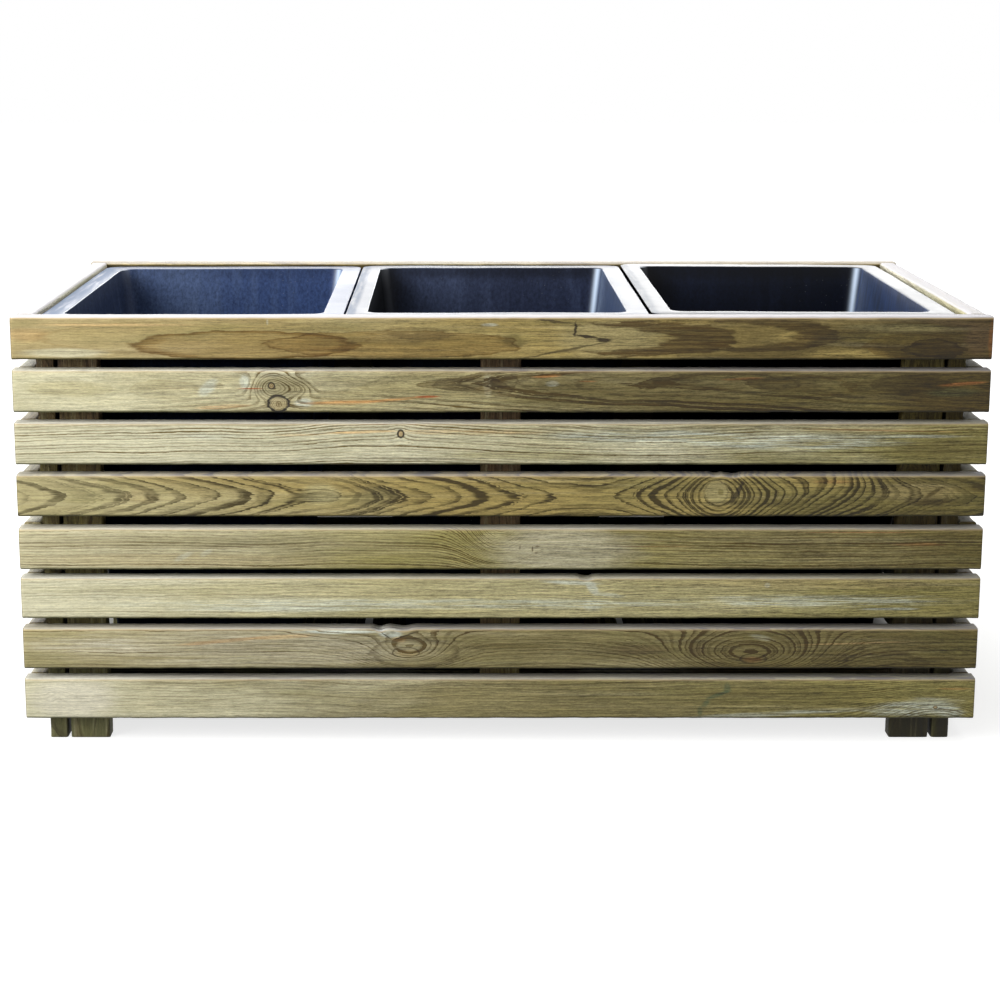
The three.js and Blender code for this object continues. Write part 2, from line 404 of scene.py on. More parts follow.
def stain():
    """A streak or patch of another colour that lies along the grain."""
    numbers = "along up length height tilt strength streaky wobble ragged fibres"
    recipe = Recipe("stain", numbers, "colour", "colour tint")
    along, _, up = recipe["point"].parts()
    stray = recipe["ragged"] * recipe["wobble"]
    from_middle = along - recipe["along"] + stray
    off_line = up - recipe["up"] - from_middle * recipe["tilt"] + stray
    spread = (from_middle / recipe["length"]).bell() * (off_line / recipe["height"]).bell()
    patch = (spread + recipe["ragged"] * 0.5).rise(0.2, 0.75)
    broken = 1 - recipe["streaky"] + recipe["streaky"] * recipe["fibres"]
    recipe.give(colour=recipe["colour"].toward(recipe["tint"], patch * broken * recipe["strength"]))
    return recipe


def flame():
    """A tongue of darker wood with a crisp outline, filled or drawn as a line or crescent."""
    numbers = "along up length height tilt fill line inner wobble hollow hollow_shift ragged fibres"
    recipe = Recipe("flame in the grain", numbers, "colour", "colour tint")
    along, _, up = recipe["point"].parts()
    from_middle = along - recipe["along"]
    off_line = up - recipe["up"] - from_middle * recipe["tilt"]
    far_up = off_line / recipe["height"]
    stray = recipe["ragged"] * recipe["wobble"]
    far_along = from_middle / recipe["length"]
    reach = far_along.diagonal(far_up) + stray
    inside = 1 - reach.rise(0.96, 1.03)
    rim = reach.rise(recipe["inner"], 1.0) * recipe["line"]
    far_shifted = (from_middle - recipe["hollow_shift"]) / recipe["length"]
    inner_reach = (far_shifted * far_shifted + far_up * far_up * 1.7).math("SQRT") - stray
    hollow = (1 - inner_reach.rise(0.9, 1.05)) * recipe["hollow"]
    depth = rim.math("MAXIMUM", recipe["fill"]) * (recipe["fibres"] * 0.35 + 0.75)
    amount = inside * depth * (1 - hollow)
    recipe.give(colour=recipe["colour"].toward(recipe["tint"], amount, "MULTIPLY"))
    return recipe


def planed_face():
    """Rings, fibres, knots, worn arrises and sawn ends on a board's ground tone, with a top paled by
    weathering and painted sky light, and painted shade on inner and downward faces.
    """
    numbers = "radius core bark ring contrast half_length seed comb coarse exposure edge"
    recipe = Recipe("planed face", numbers, "colour roughness relief", "ground latewood arris")
    point = recipe["point"]
    seed = recipe["seed"]
    along, inward, _ = point.parts()

    ragged = point.stretched(0.05, 0.3, 0.4, seed + 2).noise(3) - 0.5
    fine_ragged = point.stretched(0.25, 0.9, 1.3, seed + 13).noise(2) - 0.5
    teeth = point.stretched(0.045, 0.5, 0.8, seed + 17).noise(3, 0.6) - 0.5
    stray = ragged * 1.3 + fine_ragged * 0.5 + teeth * recipe["comb"]
    years = (recipe["radius"] + stray) / recipe["ring"]
    slow_years = years.make("TexNoise", {"W": years * 0.45 + seed}, noise_dimensions="1D")
    years = years + (slow_years - 0.5) * 1.1
    season = years.math("FRACT")
    year = years.math("FLOOR") + seed
    strength = years.make("TexWhiteNoise", {"W": year}, noise_dimensions="1D") * 0.7 + 0.3
    patchy = point.stretched(0.014, 0.12, 0.2, seed + 61).noise(3, 0.6).rise(0.3, 0.66)
    late = season.rise(0.3, 0.93) * (1 - season.rise(0.94, 1.0)) * strength * (patchy * 0.65 + 0.5)

    fibre = point.stretched(0.02, 0.8, 1.1, seed + 23).noise(4, 0.6)
    hair = point.stretched(0.09, 1.0, 1.25, seed + 29).noise(3, 0.7)
    speck = point.stretched(0.35, 1.0, 1.3, seed + 53).noise(3, 0.8)
    depth = along / recipe["half_length"] * 0.65 + 1.25
    grain = recipe["ground"].toward(recipe["latewood"], late * recipe["contrast"], "MULTIPLY")
    bands = point.stretched(0.006, 0.2, 0.28, seed + 67).noise(3, 0.6)
    shade = (fibre * 1.2 + hair * 1.6 + speck + bands * 0.9 - 2.35) * depth * recipe["coarse"] + 1
    shade = shade.math("MAXIMUM", 0.3)
    colour = grain.shaded(shade)
    dashes = point.stretched(0.12, 1.5, 1.9, seed + 41).noise(2)
    colour = colour.toward(LATEWOOD, dashes.rise(0.6, 0.72) * 0.45, "MULTIPLY")
    colour = colour.toward(KNOT_HEART, recipe["core"])
    colour = colour.toward(LATEWOOD, recipe["core"] * late, "MULTIPLY")
    colour = colour.toward(KNOT_BARK, recipe["bark"] * (fibre * 0.8 + 0.5))

    _, _, facing_up = facing(recipe.tree)
    # The top goes pale with weathering and with painted light from the sky, as far as it is open
    weathered_and_lit = (facing_up + (fibre - 0.5) * 0.5).rise(0.2, 0.75)
    colour = colour.toward(WEATHERED_AND_LIT_TOP, weathered_and_lit * (fibre + 0.45) * recipe["exposure"])
    rubbed = ((facing_up - 0.42) / 0.2).bell() * recipe["exposure"].rise(0.0, 0.3)
    outer_edge = (1 - inward.rise(-7.8, -6.6)) * facing_up.rise(0.5, 0.7) * recipe["edge"]
    rubbed = (rubbed * (1 - inward.rise(-2.0, 2.0))).math("MAXIMUM", outer_edge)
    colour = colour.toward(recipe["arris"], rubbed * (fibre * 0.6 + recipe["exposure"] * 0.5))
    # Painted shade on the inner face of a board inside the box, left off boards open to the sky
    inside = inward.rise(8.0, 9.2) * (1 - facing_up.rise(0.1, 0.5))
    inside = inside * (1 - recipe["exposure"].rise(0.5, 0.9))
    colour = colour.toward(PAINTED_INNER_SHADE, inside * 0.95, "MULTIPLY")
    # Painted shade, a little green, on faces that point down
    damp = (facing_up * -1 + (fibre - 0.5) * 0.4).rise(0.1, 0.6)
    colour = colour.toward(PAINTED_UNDERSIDE_SHADE, damp * 0.9, "MULTIPLY")
    sawn = (along.math("ABSOLUTE") - recipe["half_length"]).rise(-0.9, -0.5)
    colour = colour.toward(SAWN_END, sawn * 0.75, "MULTIPLY")
    saw_marks = point.stretched(0.2, 0.2, 1.4, seed + 37).noise(2)

    ripple = (along * 1.7 + fibre * 2).math("SINE") * 0.05
    relief = fibre * 0.5 + hair * 0.25 + late * 0.3 + ripple - recipe["bark"] * 0.8
    recipe.give(
        colour=colour,
        roughness=fibre * 0.2 - late * 0.12 + 0.56,
        relief=relief + saw_marks * sawn,
    )
    return recipe


GROWTH_RINGS = growth_rings()
SWELL = swell()
CALM = calm()
KNOT = knot()
GROUND_TONE = ground_tone()
UNEVENNESS = unevenness()
STAIN = stain()
FLAME = flame()
PLANED_FACE = planed_face()

# Tones of treated softwood
CHALK = linear(208, 203, 184)
CREAM = linear(200, 196, 166)
STRAW = linear(180, 172, 128)
SAND = linear(164, 154, 112)
TAN = linear(166, 150, 106)
HONEY = linear(156, 138, 84)
OLIVE = linear(143, 135, 83)
GREY_BROWN = linear(126, 117, 79)
MOSS = linear(107, 97, 56)
UMBER = linear(102, 92, 54)
DARK_UMBER = linear(72, 61, 34)
INK = linear(48, 40, 28)
WALNUT = linear(98, 80, 58)
GREEN_BROWN = linear(98, 97, 66)
BLACK_BROWN = linear(42, 39, 26)

# Tones of stains
ORANGE = linear(190, 136, 80)
AMBER = linear(150, 100, 60)
APRICOT = linear(216, 182, 128)
RUST = linear(160, 82, 46)
RESIN = linear(206, 214, 202)
HEART = linear(92, 78, 54)
ALGAE = linear(78, 92, 68)

# Tints of flames, which darken the wood that they cover
BROWN_TINT = linear(196, 172, 130)
DARK_TINT = linear(124, 108, 84)
GREEN_TINT = linear(166, 164, 130)


def wood_finish(name, board, look):
    """The material of one board, in the board's own directions."""
    material, surface, place = blank_finish(name)
    tree = material.node_tree
    surface.inputs["Specular IOR Level"].default_value = look["shine"]
    turn = board.turn.to_3x3().transposed()
    to_board = {"Vector": place, "Location": turn @ board.centre / -MM}
    to_board.update(Rotation=turn.to_euler("XYZ"), Scale=(1 / MM, 1 / MM, 1 / MM))
    point = place.make("Mapping", to_board)

    half_length = board.size.x / 2 / MM
    seed = look["seed"]
    shape = {key: look[key] for key in ("pith_up", "pith_in", "taper", "crest", "wander", "wave")}
    rings = GROWTH_RINGS.used(tree, {"point": point, "seed": seed, **shape})
    radius = rings["radius"]
    for spot in look["swells"]:
        radius = SWELL.used(tree, {"point": point, "radius": radius, **spot})["radius"]
    uneven = UNEVENNESS.used(tree, {"point": point, "seed": seed})
    ragged = {"point": point, "ragged": uneven["ragged"]}
    stranded = {**ragged, "fibres": uneven["fibres"]}
    knots = {"radius": radius, "core": 0.0, "bark": 0.0}
    for spot in look["knots"]:
        knots = KNOT.used(tree, {**ragged, "ring": look["ring"], **knots, **spot})

    tones = {"left": look["left"], "middle": look["middle"], "right": look["right"]}
    tones["half_length"] = half_length
    ground = GROUND_TONE.used(tree, {"point": point, "seed": seed, **tones})["colour"]
    for spot in look["stains"]:
        ground = STAIN.used(tree, {**stranded, "colour": ground, **spot})["colour"]
    for spot in look["flames"]:
        ground = FLAME.used(tree, {**stranded, "colour": ground, **spot})["colour"]

    contrast = look["contrast"]
    for spot in look["calms"]:
        contrast = CALM.used(tree, {"point": point, "contrast": contrast, **spot})["contrast"]
    surface_keys = ("ring", "comb", "coarse", "exposure", "latewood", "arris", "edge")
    rest = {key: look[key] for key in surface_keys}
    rest.update(contrast=contrast, half_length=half_length)
    face = PLANED_FACE.used(tree, {"point": point, "ground": ground, "seed": seed, **knots, **rest})
    dress(tree, surface, face["colour"], face["roughness"])
    emboss(tree, surface, face["relief"], WOOD_RELIEF)
    return material


def swell_at(along, up, length, height, amount):
    return {"along": along, "up": up, "length": length, "height": height, "amount": amount}


def knot_at(along, up, size, stretch=1.0, push=6.0, **shape):
    plain = {"rings": size * 0.7, "heart": 0.75, "edge": 1.0, "rim": 0.1, "stray": 0.5}
    place = {"along": along, "up": up, "size": size, "stretch": stretch}
    return {**place, "push": push, **plain, **shape}


def calm_at(along, length, amount):
    """A stretch of a board where the rings show less, or more where the amount is negative."""
    return {"along": along, "length": length, "amount": amount}


def flame_at(tint, along, up, length, height, fill, line, **shape):
    plain = {"tilt": 0.0, "inner": 0.75, "wobble": 0.5, "hollow": 0.0, "hollow_shift": 0.0}
    place = {"along": along, "up": up, "length": length, "height": height}
    return {"tint": tint, **place, "fill": fill, "line": line, **plain, **shape}


def stain_at(tint, along, up, length, height, strength, tilt=0.0, streaky=0.0, wobble=0.0):
    place = {"along": along, "up": up, "length": length, "height": height, "tilt": tilt}
    return {"tint": tint, **place, "strength": strength, "streaky": streaky, "wobble": wobble}


def look_of(seed, tones, ring, contrast, stains=(), calms=(), swells=(), **shape):
    """A board's look: its tones from left to right, ring width in millimetres, ring depth."""
    left, middle, right = tones
    grain = {"pith_up": 0.0, "pith_in": 12.0, "taper": 0.0, "crest": 0.0, "wander": 20.0, "wave": 5.0}
    surface = {"comb": 0.8, "coarse": 1.0, "exposure": SHELTERED, "shine": WOOD_SHINE}
    surface.update(latewood=LATEWOOD, arris=RUBBED_ARRIS, edge=0.0)
    spots = {
        "stains": [stain_at(*row) for row in stains],
        "calms": [calm_at(*row) for row in calms],
        "swells": [swell_at(*row) for row in swells],
        "knots": (),
        "flames": (),
    }
    look = {"seed": seed, "left": left, "middle": middle, "right": right}
    return {**look, "ring": ring, "contrast": contrast, **grain, **surface, **spots, **shape}


# The eight front slats from the top. Places are millimetres from the slat's middle. Each
# stain, calm stretch and swell is a row that stain_at, calm_at or swell_at takes.
# Their tones go from pale at the left to dark at the right: partly the wood's own colour, partly a
# painted fall of light from the light on the left.
FRONT_LOOKS = [
    look_of(
        1.0, (TAN, HONEY, DARK_UMBER), 7.0, 0.45,
        pith_up=4.0, pith_in=34.0, wander=10.0, wave=3.0, exposure=OPEN,
        stains=[
            (ORANGE, -484, 4, 24, 8, 0.2),
            (CREAM, -445, -15, 45, 5, 0.7),
            (APRICOT, -395, 14, 80, 1.3, 0.6),
            (GREY_BROWN, -130, 8, 120, 12, 0.3),
            (DARK_UMBER, 350, 2, 190, 40, 0.42),
            (UMBER, -170, -3, 36, 6, 0.4),
            (UMBER, -70, -4, 60, 7, 0.4),
            (UMBER, 12, -2, 12, 9, 0.7),
            (SAND, 110, 0, 60, 22, 0.5),
            (INK, 55, 17.5, 22, 1.0, 0.85, -0.13, 0.2, 9.0),
            (INK, 75, 10, 1.8, 8.0, 0.95, 0.0, 0.0, 9.0),
            (INK, 87, 2.2, 15, 1.5, 0.95, -0.2, 0.0, 9.0),
            (INK, 104, -1.5, 9, 2.4, 0.95, 0.0, 0.0, 9.0),
            (INK, 64, -12.5, 52, 1.3, 0.85, 0.2, 0.2, 9.0),
            (HONEY, 296, 0, 24, 8, 0.7),
            (UMBER, 395, -1, 60, 7, 0.9, -0.05),
            (GREY_BROWN, 400, 11, 60, 4, 0.8),
            (HONEY, 350, -19, 50, 9, 0.95),
            (DARK_UMBER, 436, -8, 24, 7, 0.9, 0.0, 0.3),
            (WALNUT, 486, 0, 16, 22, 0.6),
            (AMBER, 499, 0, 4, 22, 0.5),
            (HEART, 468, 15, 44, 3.5, 0.8, -0.1),
            (RESIN, -12, 14, 9, 2, 0.6, 0.0, 0.8),
            (RESIN, -238, 17, 1.2, 3.5, 0.3),
        ],
        flames=[
            flame_at(BROWN_TINT, -300, 1, 172, 17, 0.0, 0.45, inner=0.93, wobble=0.3),
            flame_at(BROWN_TINT, -262, -7, 115, 15, 0.35, 1.0, inner=0.62, wobble=0.4),
            flame_at(DARK_TINT, -262, -7, 115, 15, 0.0, 0.5, inner=0.86, wobble=0.4),
            flame_at(BROWN_TINT, -110, -6, 132, 14, 0.55, 1.0, inner=0.88, wobble=0.5),
            flame_at(DARK_TINT, -110, -6, 132, 14, 0.0, 0.7, inner=0.93, wobble=0.5),
            flame_at(DARK_TINT, 141, 0, 104, 18, 0.9, 0.9, hollow=1.0, hollow_shift=-74.0, wobble=0.7),
            flame_at(DARK_TINT, 263, 3, 82, 18, 0.8, 0.9, hollow=1.0, hollow_shift=-44.0, wobble=0.7),
            flame_at(BROWN_TINT, 420, -8, 50, 12.5, 0.5, 0.9, inner=0.9, wobble=0.4),
            flame_at(DARK_TINT, 442, -11, 30, 10, 0.4, 1.0, inner=0.45, wobble=1.5),
        ],
    ),
    look_of(
        2.0, (CREAM, SAND, DARK_UMBER), 4.2, 0.9, coarse=1.2,
        pith_up=8.0, pith_in=5.0, taper=-0.05, crest=-215.0, wander=10.0, wave=6.0, comb=1.2,
        calms=[
            (-440, 150, 0.85), (-222, 26, -1.0), (-140, 40, 0.5),
            (240, 220, -1.2),
        ],
        knots=[
            knot_at(-228, -12.8, 9.0, 1.22, 3.0, heart=0.2, rim=0.14, stray=0.7),
            knot_at(-235, 6, 3.4, 1.0, 3.0, heart=0.5, rim=0.2),
        ],
        swells=[(-233, 5, 19, 12, 34.0), (-208, 3, 14, 8, 12.0)],
        stains=[
            (STRAW, -446, 3, 50, 9, 0.5),
            (STRAW, -440, 0, 200, 40, 0.3, 0.0, 0.4),
            (UMBER, 310, 0, 330, 40, 0.7),
            (UMBER, 60, -4, 70, 20, 0.6, 0.0, 0.3),
            (DARK_UMBER, 476, 0, 90, 40, 0.9),
            (RESIN, -300, 4, 10, 8, 0.6, 0.5, 0.3),
            (RESIN, -262, 10, 6, 9, 0.5),
            (GREY_BROWN, -222, 6, 34, 12, 0.6),
            (RUST, -256, 3, 13, 0.7, 0.9),
            (RESIN, -202, -12, 10, 5, 0.6),
            (ORANGE, -160, -11.5, 46, 2.7, 0.75, 0.03, 0.7),
            (ORANGE, -104, -8, 36, 1.6, 0.7, 0.08, 0.6),
            (RUST, -76, -5.5, 15, 1.3, 0.9, 0.02),
            (ORANGE, -286, -16, 30, 2.2, 0.6, 0.05, 0.7),
            (APRICOT, 46, 16, 17, 1.5, 0.9, 0.06),
            (ORANGE, 46, 15.5, 15, 1.0, 0.9, 0.06),
            (AMBER, 88, 10.5, 10, 0.8, 0.7),
            (AMBER, 246, 13, 22, 1.4, 0.7, 0.04, 0.6),
            (ALGAE, 462, -1, 30, 5, 0.25),
            (AMBER, 472, 8, 24, 1.9, 0.9, 0.07, 0.2),
            (RESIN, 52, 8, 7, 3, 0.5, 0.0, 0.7),
            (CREAM, -14, 6, 5, 13, 0.6),
        ],
        flames=[
            flame_at(BROWN_TINT, -440, 3, 44, 8, 0.1, 0.2, inner=0.85),
            flame_at(BROWN_TINT, -345, 2, 36, 10, 0.1, 0.25, inner=0.85),
            flame_at(GREEN_TINT, -70, 4, 70, 13, 0.2, 0.5, inner=0.9),
            flame_at(DARK_TINT, -32, 7, 39, 7, 0.5, 0.8, inner=0.8, wobble=0.7),
            flame_at(DARK_TINT, 2, 9, 14, 11, 0.3, 0.7, inner=0.7, wobble=1.4),
            flame_at(DARK_TINT, 162, 8, 146, 13, 0.2, 1.0, inner=0.93, wobble=0.4),
            flame_at(BROWN_TINT, 170, 5, 190, 18, 0.0, 0.9, inner=0.94, wobble=0.4),
            flame_at(DARK_TINT, 418, 7, 42, 9, 0.55, 0.6, wobble=0.4),
        ],
    ),
    look_of(
        3.0, (CREAM, CREAM, OLIVE), 2.4, 1.2, coarse=0.85,
        pith_up=62.0, pith_in=34.0, wander=24.0, wave=3.0, comb=0.6,
        calms=[(-100, 260, -0.35)],
        swells=[(-103, -6, 110, 60, 6.0)],
        knots=[knot_at(-103, 10.5, 4.2, 0.8, 4.0, heart=0.8, rim=0.26)],
        stains=[
            (APRICOT, -146, 12.5, 40, 1.6, 0.9, 0.03, 0.3),
            (APRICOT, -30, 12.5, 90, 3, 0.7, 0.0, 0.7),
            (STRAW, 10, 0, 90, 40, 0.3),
            (APRICOT, -207, 9.5, 30, 1.3, 0.7, 0.02, 0.5),
            (RESIN, -300, 8, 40, 3, 0.5, 0.0, 0.8),
            (RESIN, 150, 8, 110, 7, 0.75, 0.0, 1.0),
            (RESIN, 300, 2, 120, 9, 0.7, 0.0, 1.0),
            (RESIN, 420, 8, 60, 2, 0.6, 0.0, 0.6),
            (TAN, 370, 15, 90, 2.5, 0.6, -0.01, 0.4),
            (AMBER, 395, 14, 85, 0.8, 0.5, -0.02),
            (MOSS, 465, -6, 70, 14, 0.6),
            (OLIVE, 40, -12, 110, 5, 0.4),
        ],
    ),
    look_of(
        4.0, (SAND, HONEY, MOSS), 6.0, 1.6,
        pith_up=-1.0, pith_in=3.0, taper=0.19, crest=-2500.0, wander=6.0, wave=8.0,
        comb=2.6, latewood=SMOKY_LATEWOOD,
        knots=[knot_at(222, 4, 13, 1.0, 0.0, rings=0.4, heart=0.0, edge=0.0)],
        calms=[(-178, 24, 0.6), (-430, 130, 0.4), (260, 140, -0.6)],
        swells=[
            (226, 5, 28, 44, -26.0),
            (234, 4, 92, 80, -66.0),
            (342, 26, 44, 24, -30.0),
            (-172, 4, 30, 18, -7.0),
        ],
        stains=[
            (SAND, 223, 4, 15, 14, 0.7),
            (UMBER, 227, 4, 3.5, 3.5, 0.8),
            (OLIVE, 240, 0, 200, 40, 0.2),
            (INK, 244, 3, 8, 6, 0.85, 1.75),
            (HONEY, 335, 15, 50, 7, 0.6),
            (AMBER, 342, 15, 24, 2.2, 0.4, 0.0, 0.3),
            (TAN, 430, 4, 50, 12, 0.4),
            (UMBER, 342, -3, 5, 4, 0.8),
            (DARK_UMBER, 444, -7, 26, 4, 0.8, 0.02),
            (DARK_UMBER, 446, 3, 10, 3, 0.8, 0.6),
            (DARK_UMBER, 492, 9, 9, 5, 0.7),
            (GREY_BROWN, -128, -2, 26, 15, 0.6),
            (STRAW, -186, 2, 22, 12, 0.6),
            (TAN, -372, 0, 22, 9, 0.5),
            (UMBER, -245, 0, 9, 14, 0.5),
        ],
    ),
    look_of(
        5.0, (STRAW, OLIVE, MOSS), 2.5, 1.0, coarse=0.9,
        pith_up=58.0, pith_in=26.0, wander=18.0, wave=3.0, comb=0.9,
        calms=[(72, 58, 0.92), (-44, 30, -1.6), (330, 160, -0.8)],
        swells=[(0, 24, 34, 42, -46.0)],
        stains=[
            (CHALK, 64, -2, 84, 30, 0.5, 0.0, 0.3),
            (CHALK, -400, 0, 240, 34, 0.35, 0.0, 0.3),
            (SAND, 290, 0, 170, 34, 0.4, 0.0, 0.3),
            (TAN, -330, -12, 180, 8, 0.5, 0.0, 0.4),
            (GREY_BROWN, -330, 8, 170, 7, 0.45, 0.0, 0.6),
            (GREY_BROWN, -180, 4, 90, 16, 0.3, 0.0, 0.5),
            (STRAW, -8, 13, 14, 6, 0.7),
            (RESIN, -330, -8, 10, 3.5, 0.35, 0.4, 0.4),
            (RESIN, -306, -4, 7, 3.5, 0.3, 0.4, 0.4),
            (HEART, 33, 0, 1.0, 3.5, 0.8, -0.6),
            (HEART, 38, 3, 2.5, 1.0, 0.6),
            (HEART, 37, -4, 2.5, 0.9, 0.6),
            (HEART, 20, 2, 1.0, 3.0, 0.5, 0.4),
            (AMBER, 160, 3, 40, 0.8, 0.5, 0.0, 0.4),
            (AMBER, 435, 5, 30, 1.8, 0.5, 0.0, 0.4),
            (AMBER, 370, 18, 70, 0.8, 0.5),
        ],
    ),
    look_of(
        6.0, (CREAM, STRAW, OLIVE), 2.6, 0.5,
        pith_up=70.0, pith_in=40.0, wander=30.0, wave=4.0,
        swells=[(96, 22, 26, 16, -7.0)],
        stains=[
            (STRAW, -100, 9, 420, 9, 0.5),
            (RESIN, 74, 17, 32, 2.6, 0.7, -0.04, 0.5),
            (RESIN, 96, 11, 7, 7, 0.7, -0.6, 0.4),
            (RESIN, 112, 4, 18, 3, 0.5, -0.15, 0.7),
            (RESIN, 96, -8, 12, 6, 0.35, 0.0, 0.8),
            (MOSS, 450, 0, 90, 40, 0.25),
            (RESIN, -60, -6, 330, 6, 0.5, 0.0, 0.9),
            (RESIN, -240, -12, 120, 3, 0.5, 0.0, 0.5),
            (TAN, 330, 15, 160, 6, 0.5, 0.0, 0.2),
            (RESIN, 330, -3, 150, 7, 0.5, 0.0, 1.0),
            (RESIN, 406, -11.5, 34, 1.5, 0.7, 0.01, 0.4),
            (RESIN, 278, 14, 3, 3, 0.35, 0.0, 0.3),
        ],
    ),
    look_of(
        7.0, (SAND, GREY_BROWN, UMBER), 3.2, 1.0, coarse=0.9,
        pith_up=50.0, pith_in=20.0, wander=16.0, wave=5.0, comb=1.2,
        calms=[(-60, 50, -0.5), (290, 170, -1.2)],
        swells=[
            (-94, -5, 46, 21, -32.0),
            (262, -11, 84, 29, -58.0),
            (-170, 24, 50, 22, -9.0),
        ],
        stains=[
            (CHALK, -280, 0, 220, 26, 0.42, 0.0, 0.5),
            (CHALK, -430, 4, 80, 9, 0.4, 0.0, 0.8),
            (GREY_BROWN, -430, -12, 90, 7, 0.6, 0.0, 0.9),
            (GREY_BROWN, 340, 0, 120, 30, 0.3, 0.0, 0.3),
            (GREY_BROWN, -354, -10, 60, 1.4, 0.7, 0.0, 0.2),
            (ORANGE, -291, 8.5, 52, 2.2, 0.45, 0.09, 0.4),
            (APRICOT, -230, 13, 40, 2.5, 0.5, 0.05, 0.3),
            (RESIN, -168, 19, 46, 3, 0.8),
            (RESIN, -115, 17, 13, 5, 0.9),
            (APRICOT, -106, 10, 8, 3, 0.5),
            (INK, -120, 14.5, 7, 0.9, 0.8, -0.7),
            (INK, -99, 14.5, 15, 0.9, 0.8, 0.35),
            (TAN, -97, -5, 14, 4, 0.7),
            (UMBER, 10, 3, 60, 3, 0.6),
            (HEART, 145, -1, 34, 6, 0.5),
            (HEART, 206, -2, 9, 7, 0.5),
            (AMBER, 265, -12, 11, 3, 0.5, 0.0, 0.3),
            (RESIN, 274, 12, 12, 3, 0.35, -0.2, 0.6),
            (APRICOT, 370, 6, 60, 0.8, 0.5, 0.03),
        ],
        flames=[
            flame_at(DARK_TINT, -99, -4, 15, 5.8, 0.0, 1.0, inner=0.78, wobble=0.3),
            flame_at(DARK_TINT, -90, -4, 46, 17, 0.0, 0.6, inner=0.72, wobble=0.8),
            flame_at(DARK_TINT, 265, -11, 15, 5.5, 0.1, 1.0, inner=0.7, wobble=0.6),
            flame_at(DARK_TINT, 346, -12, 21, 7, 0.3, 0.6, inner=0.5, wobble=1.3),
            flame_at(DARK_TINT, 402, -14, 44, 10, 0.1, 0.6, inner=0.6, wobble=1.2),
            flame_at(DARK_TINT, 456, -20, 56, 10, 0.1, 0.6, inner=0.6, wobble=1.2),
        ],
    ),
    look_of(
        8.0, (CREAM, GREY_BROWN, OLIVE), 2.6, 0.65,
        pith_up=-52.0, pith_in=24.0, wander=24.0, wave=4.0,
        calms=[(-450, 60, 0.5), (440, 90, -1.4), (150, 160, -0.4)],
        swells=[(463, -20, 66, 34, -30.0), (-466, 6, 11, 8, -5.0)],
        stains=[
            (CHALK, -450, 0, 50, 24, 0.7),
            (MOSS, 310, 2, 130, 16, 0.45),
            (RESIN, 436, -10, 50, 10, 0.8, 0.08, 0.7),
            (RESIN, 470, -12, 20, 9, 0.7, -0.3, 0.7),
            (SAND, -60, 0, 120, 30, 0.35, 0.0, 0.3),
            (SAND, -320, 0, 90, 30, 0.3, 0.0, 0.3),
            (RESIN, 300, -16, 110, 3, 0.5, 0.05, 0.8),
            (ORANGE, 478, 11, 20, 1.5, 0.4),
            (ALGAE, 239, 12, 4, 6, 0.8, 0.0, 0.3),
            (ALGAE, 229, 4, 13, 2.4, 0.8, 0.35, 0.2),
            (ALGAE, 217, -5, 5, 4, 0.75, 0.5, 0.3),
            (ALGAE, 211, -14, 3, 6, 0.65, 0.0, 0.3),
        ],
        knots=[knot_at(459, -9.5, 1.6, 1.6, 1.0)],
    ),
]


def chance_look(seed, tones, exposure, contrast=(0.45, 0.95), tints=(APRICOT, RESIN, HEART, OLIVE)):
    """A look picked by a seed, for the boards that the photograph doesn't show."""
    pick = random.Random(seed)
    flat_sawn = pick.random() < 0.5
    side = pick.choice((-1, 1))
    shape = {
        "pith_up": pick.uniform(-6, 6) if flat_sawn else side * pick.uniform(45, 75),
        "pith_in": pick.uniform(0, 14) if flat_sawn else pick.uniform(20, 45),
        "taper": pick.uniform(0.06, 0.16) if flat_sawn else 0.0,
        "crest": pick.choice((-2500.0, pick.uniform(-300, 300), 2500.0)),
        "wander": pick.uniform(6, 16) if flat_sawn else pick.uniform(20, 36),
        "wave": pick.uniform(4, 8),
    }
    ring = pick.uniform(4.5, 7.5) if flat_sawn else pick.uniform(2.2, 3.4)
    knots = []
    for _ in range(pick.choice((0, 0, 1, 1, 2))):
        size = pick.uniform(3, 9)
        place = (pick.uniform(-400, 400), pick.uniform(-12, 12))
        knots.append(knot_at(*place, size, pick.uniform(1, 1.8), size))
    stains = []
    for _ in range(pick.choice((1, 2, 3))):
        tint = pick.choice(tints)
        length = pick.uniform(40, 160)
        height = pick.uniform(2, 9)
        place = (pick.uniform(-400, 400), pick.uniform(-14, 14))
        stains.append((tint, *place, length, height, pick.uniform(0.3, 0.7), 0.0, pick.random()))
    picked = [pick.choice(tones) for _ in range(3)]
    shape.update(knots=knots, stains=stains, exposure=exposure)
    return look_of(float(seed), picked, ring, pick.uniform(*contrast), **shape)


# Boards


class Board:
    """One board of the box: x runs along it, y inward through it, z up its face."""

    def __init__(self, node, along, inward):
        low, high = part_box(node)
        along = Vector(along)
        inward = Vector(inward)
        up = along.cross(inward)
        self.centre = (low + high) / 2
        self.turn = Matrix((along, inward, up)).transposed().to_4x4()
        extent = self.turn.to_3x3().transposed() @ (high - low)
        self.size = Vector([abs(part) for part in extent])


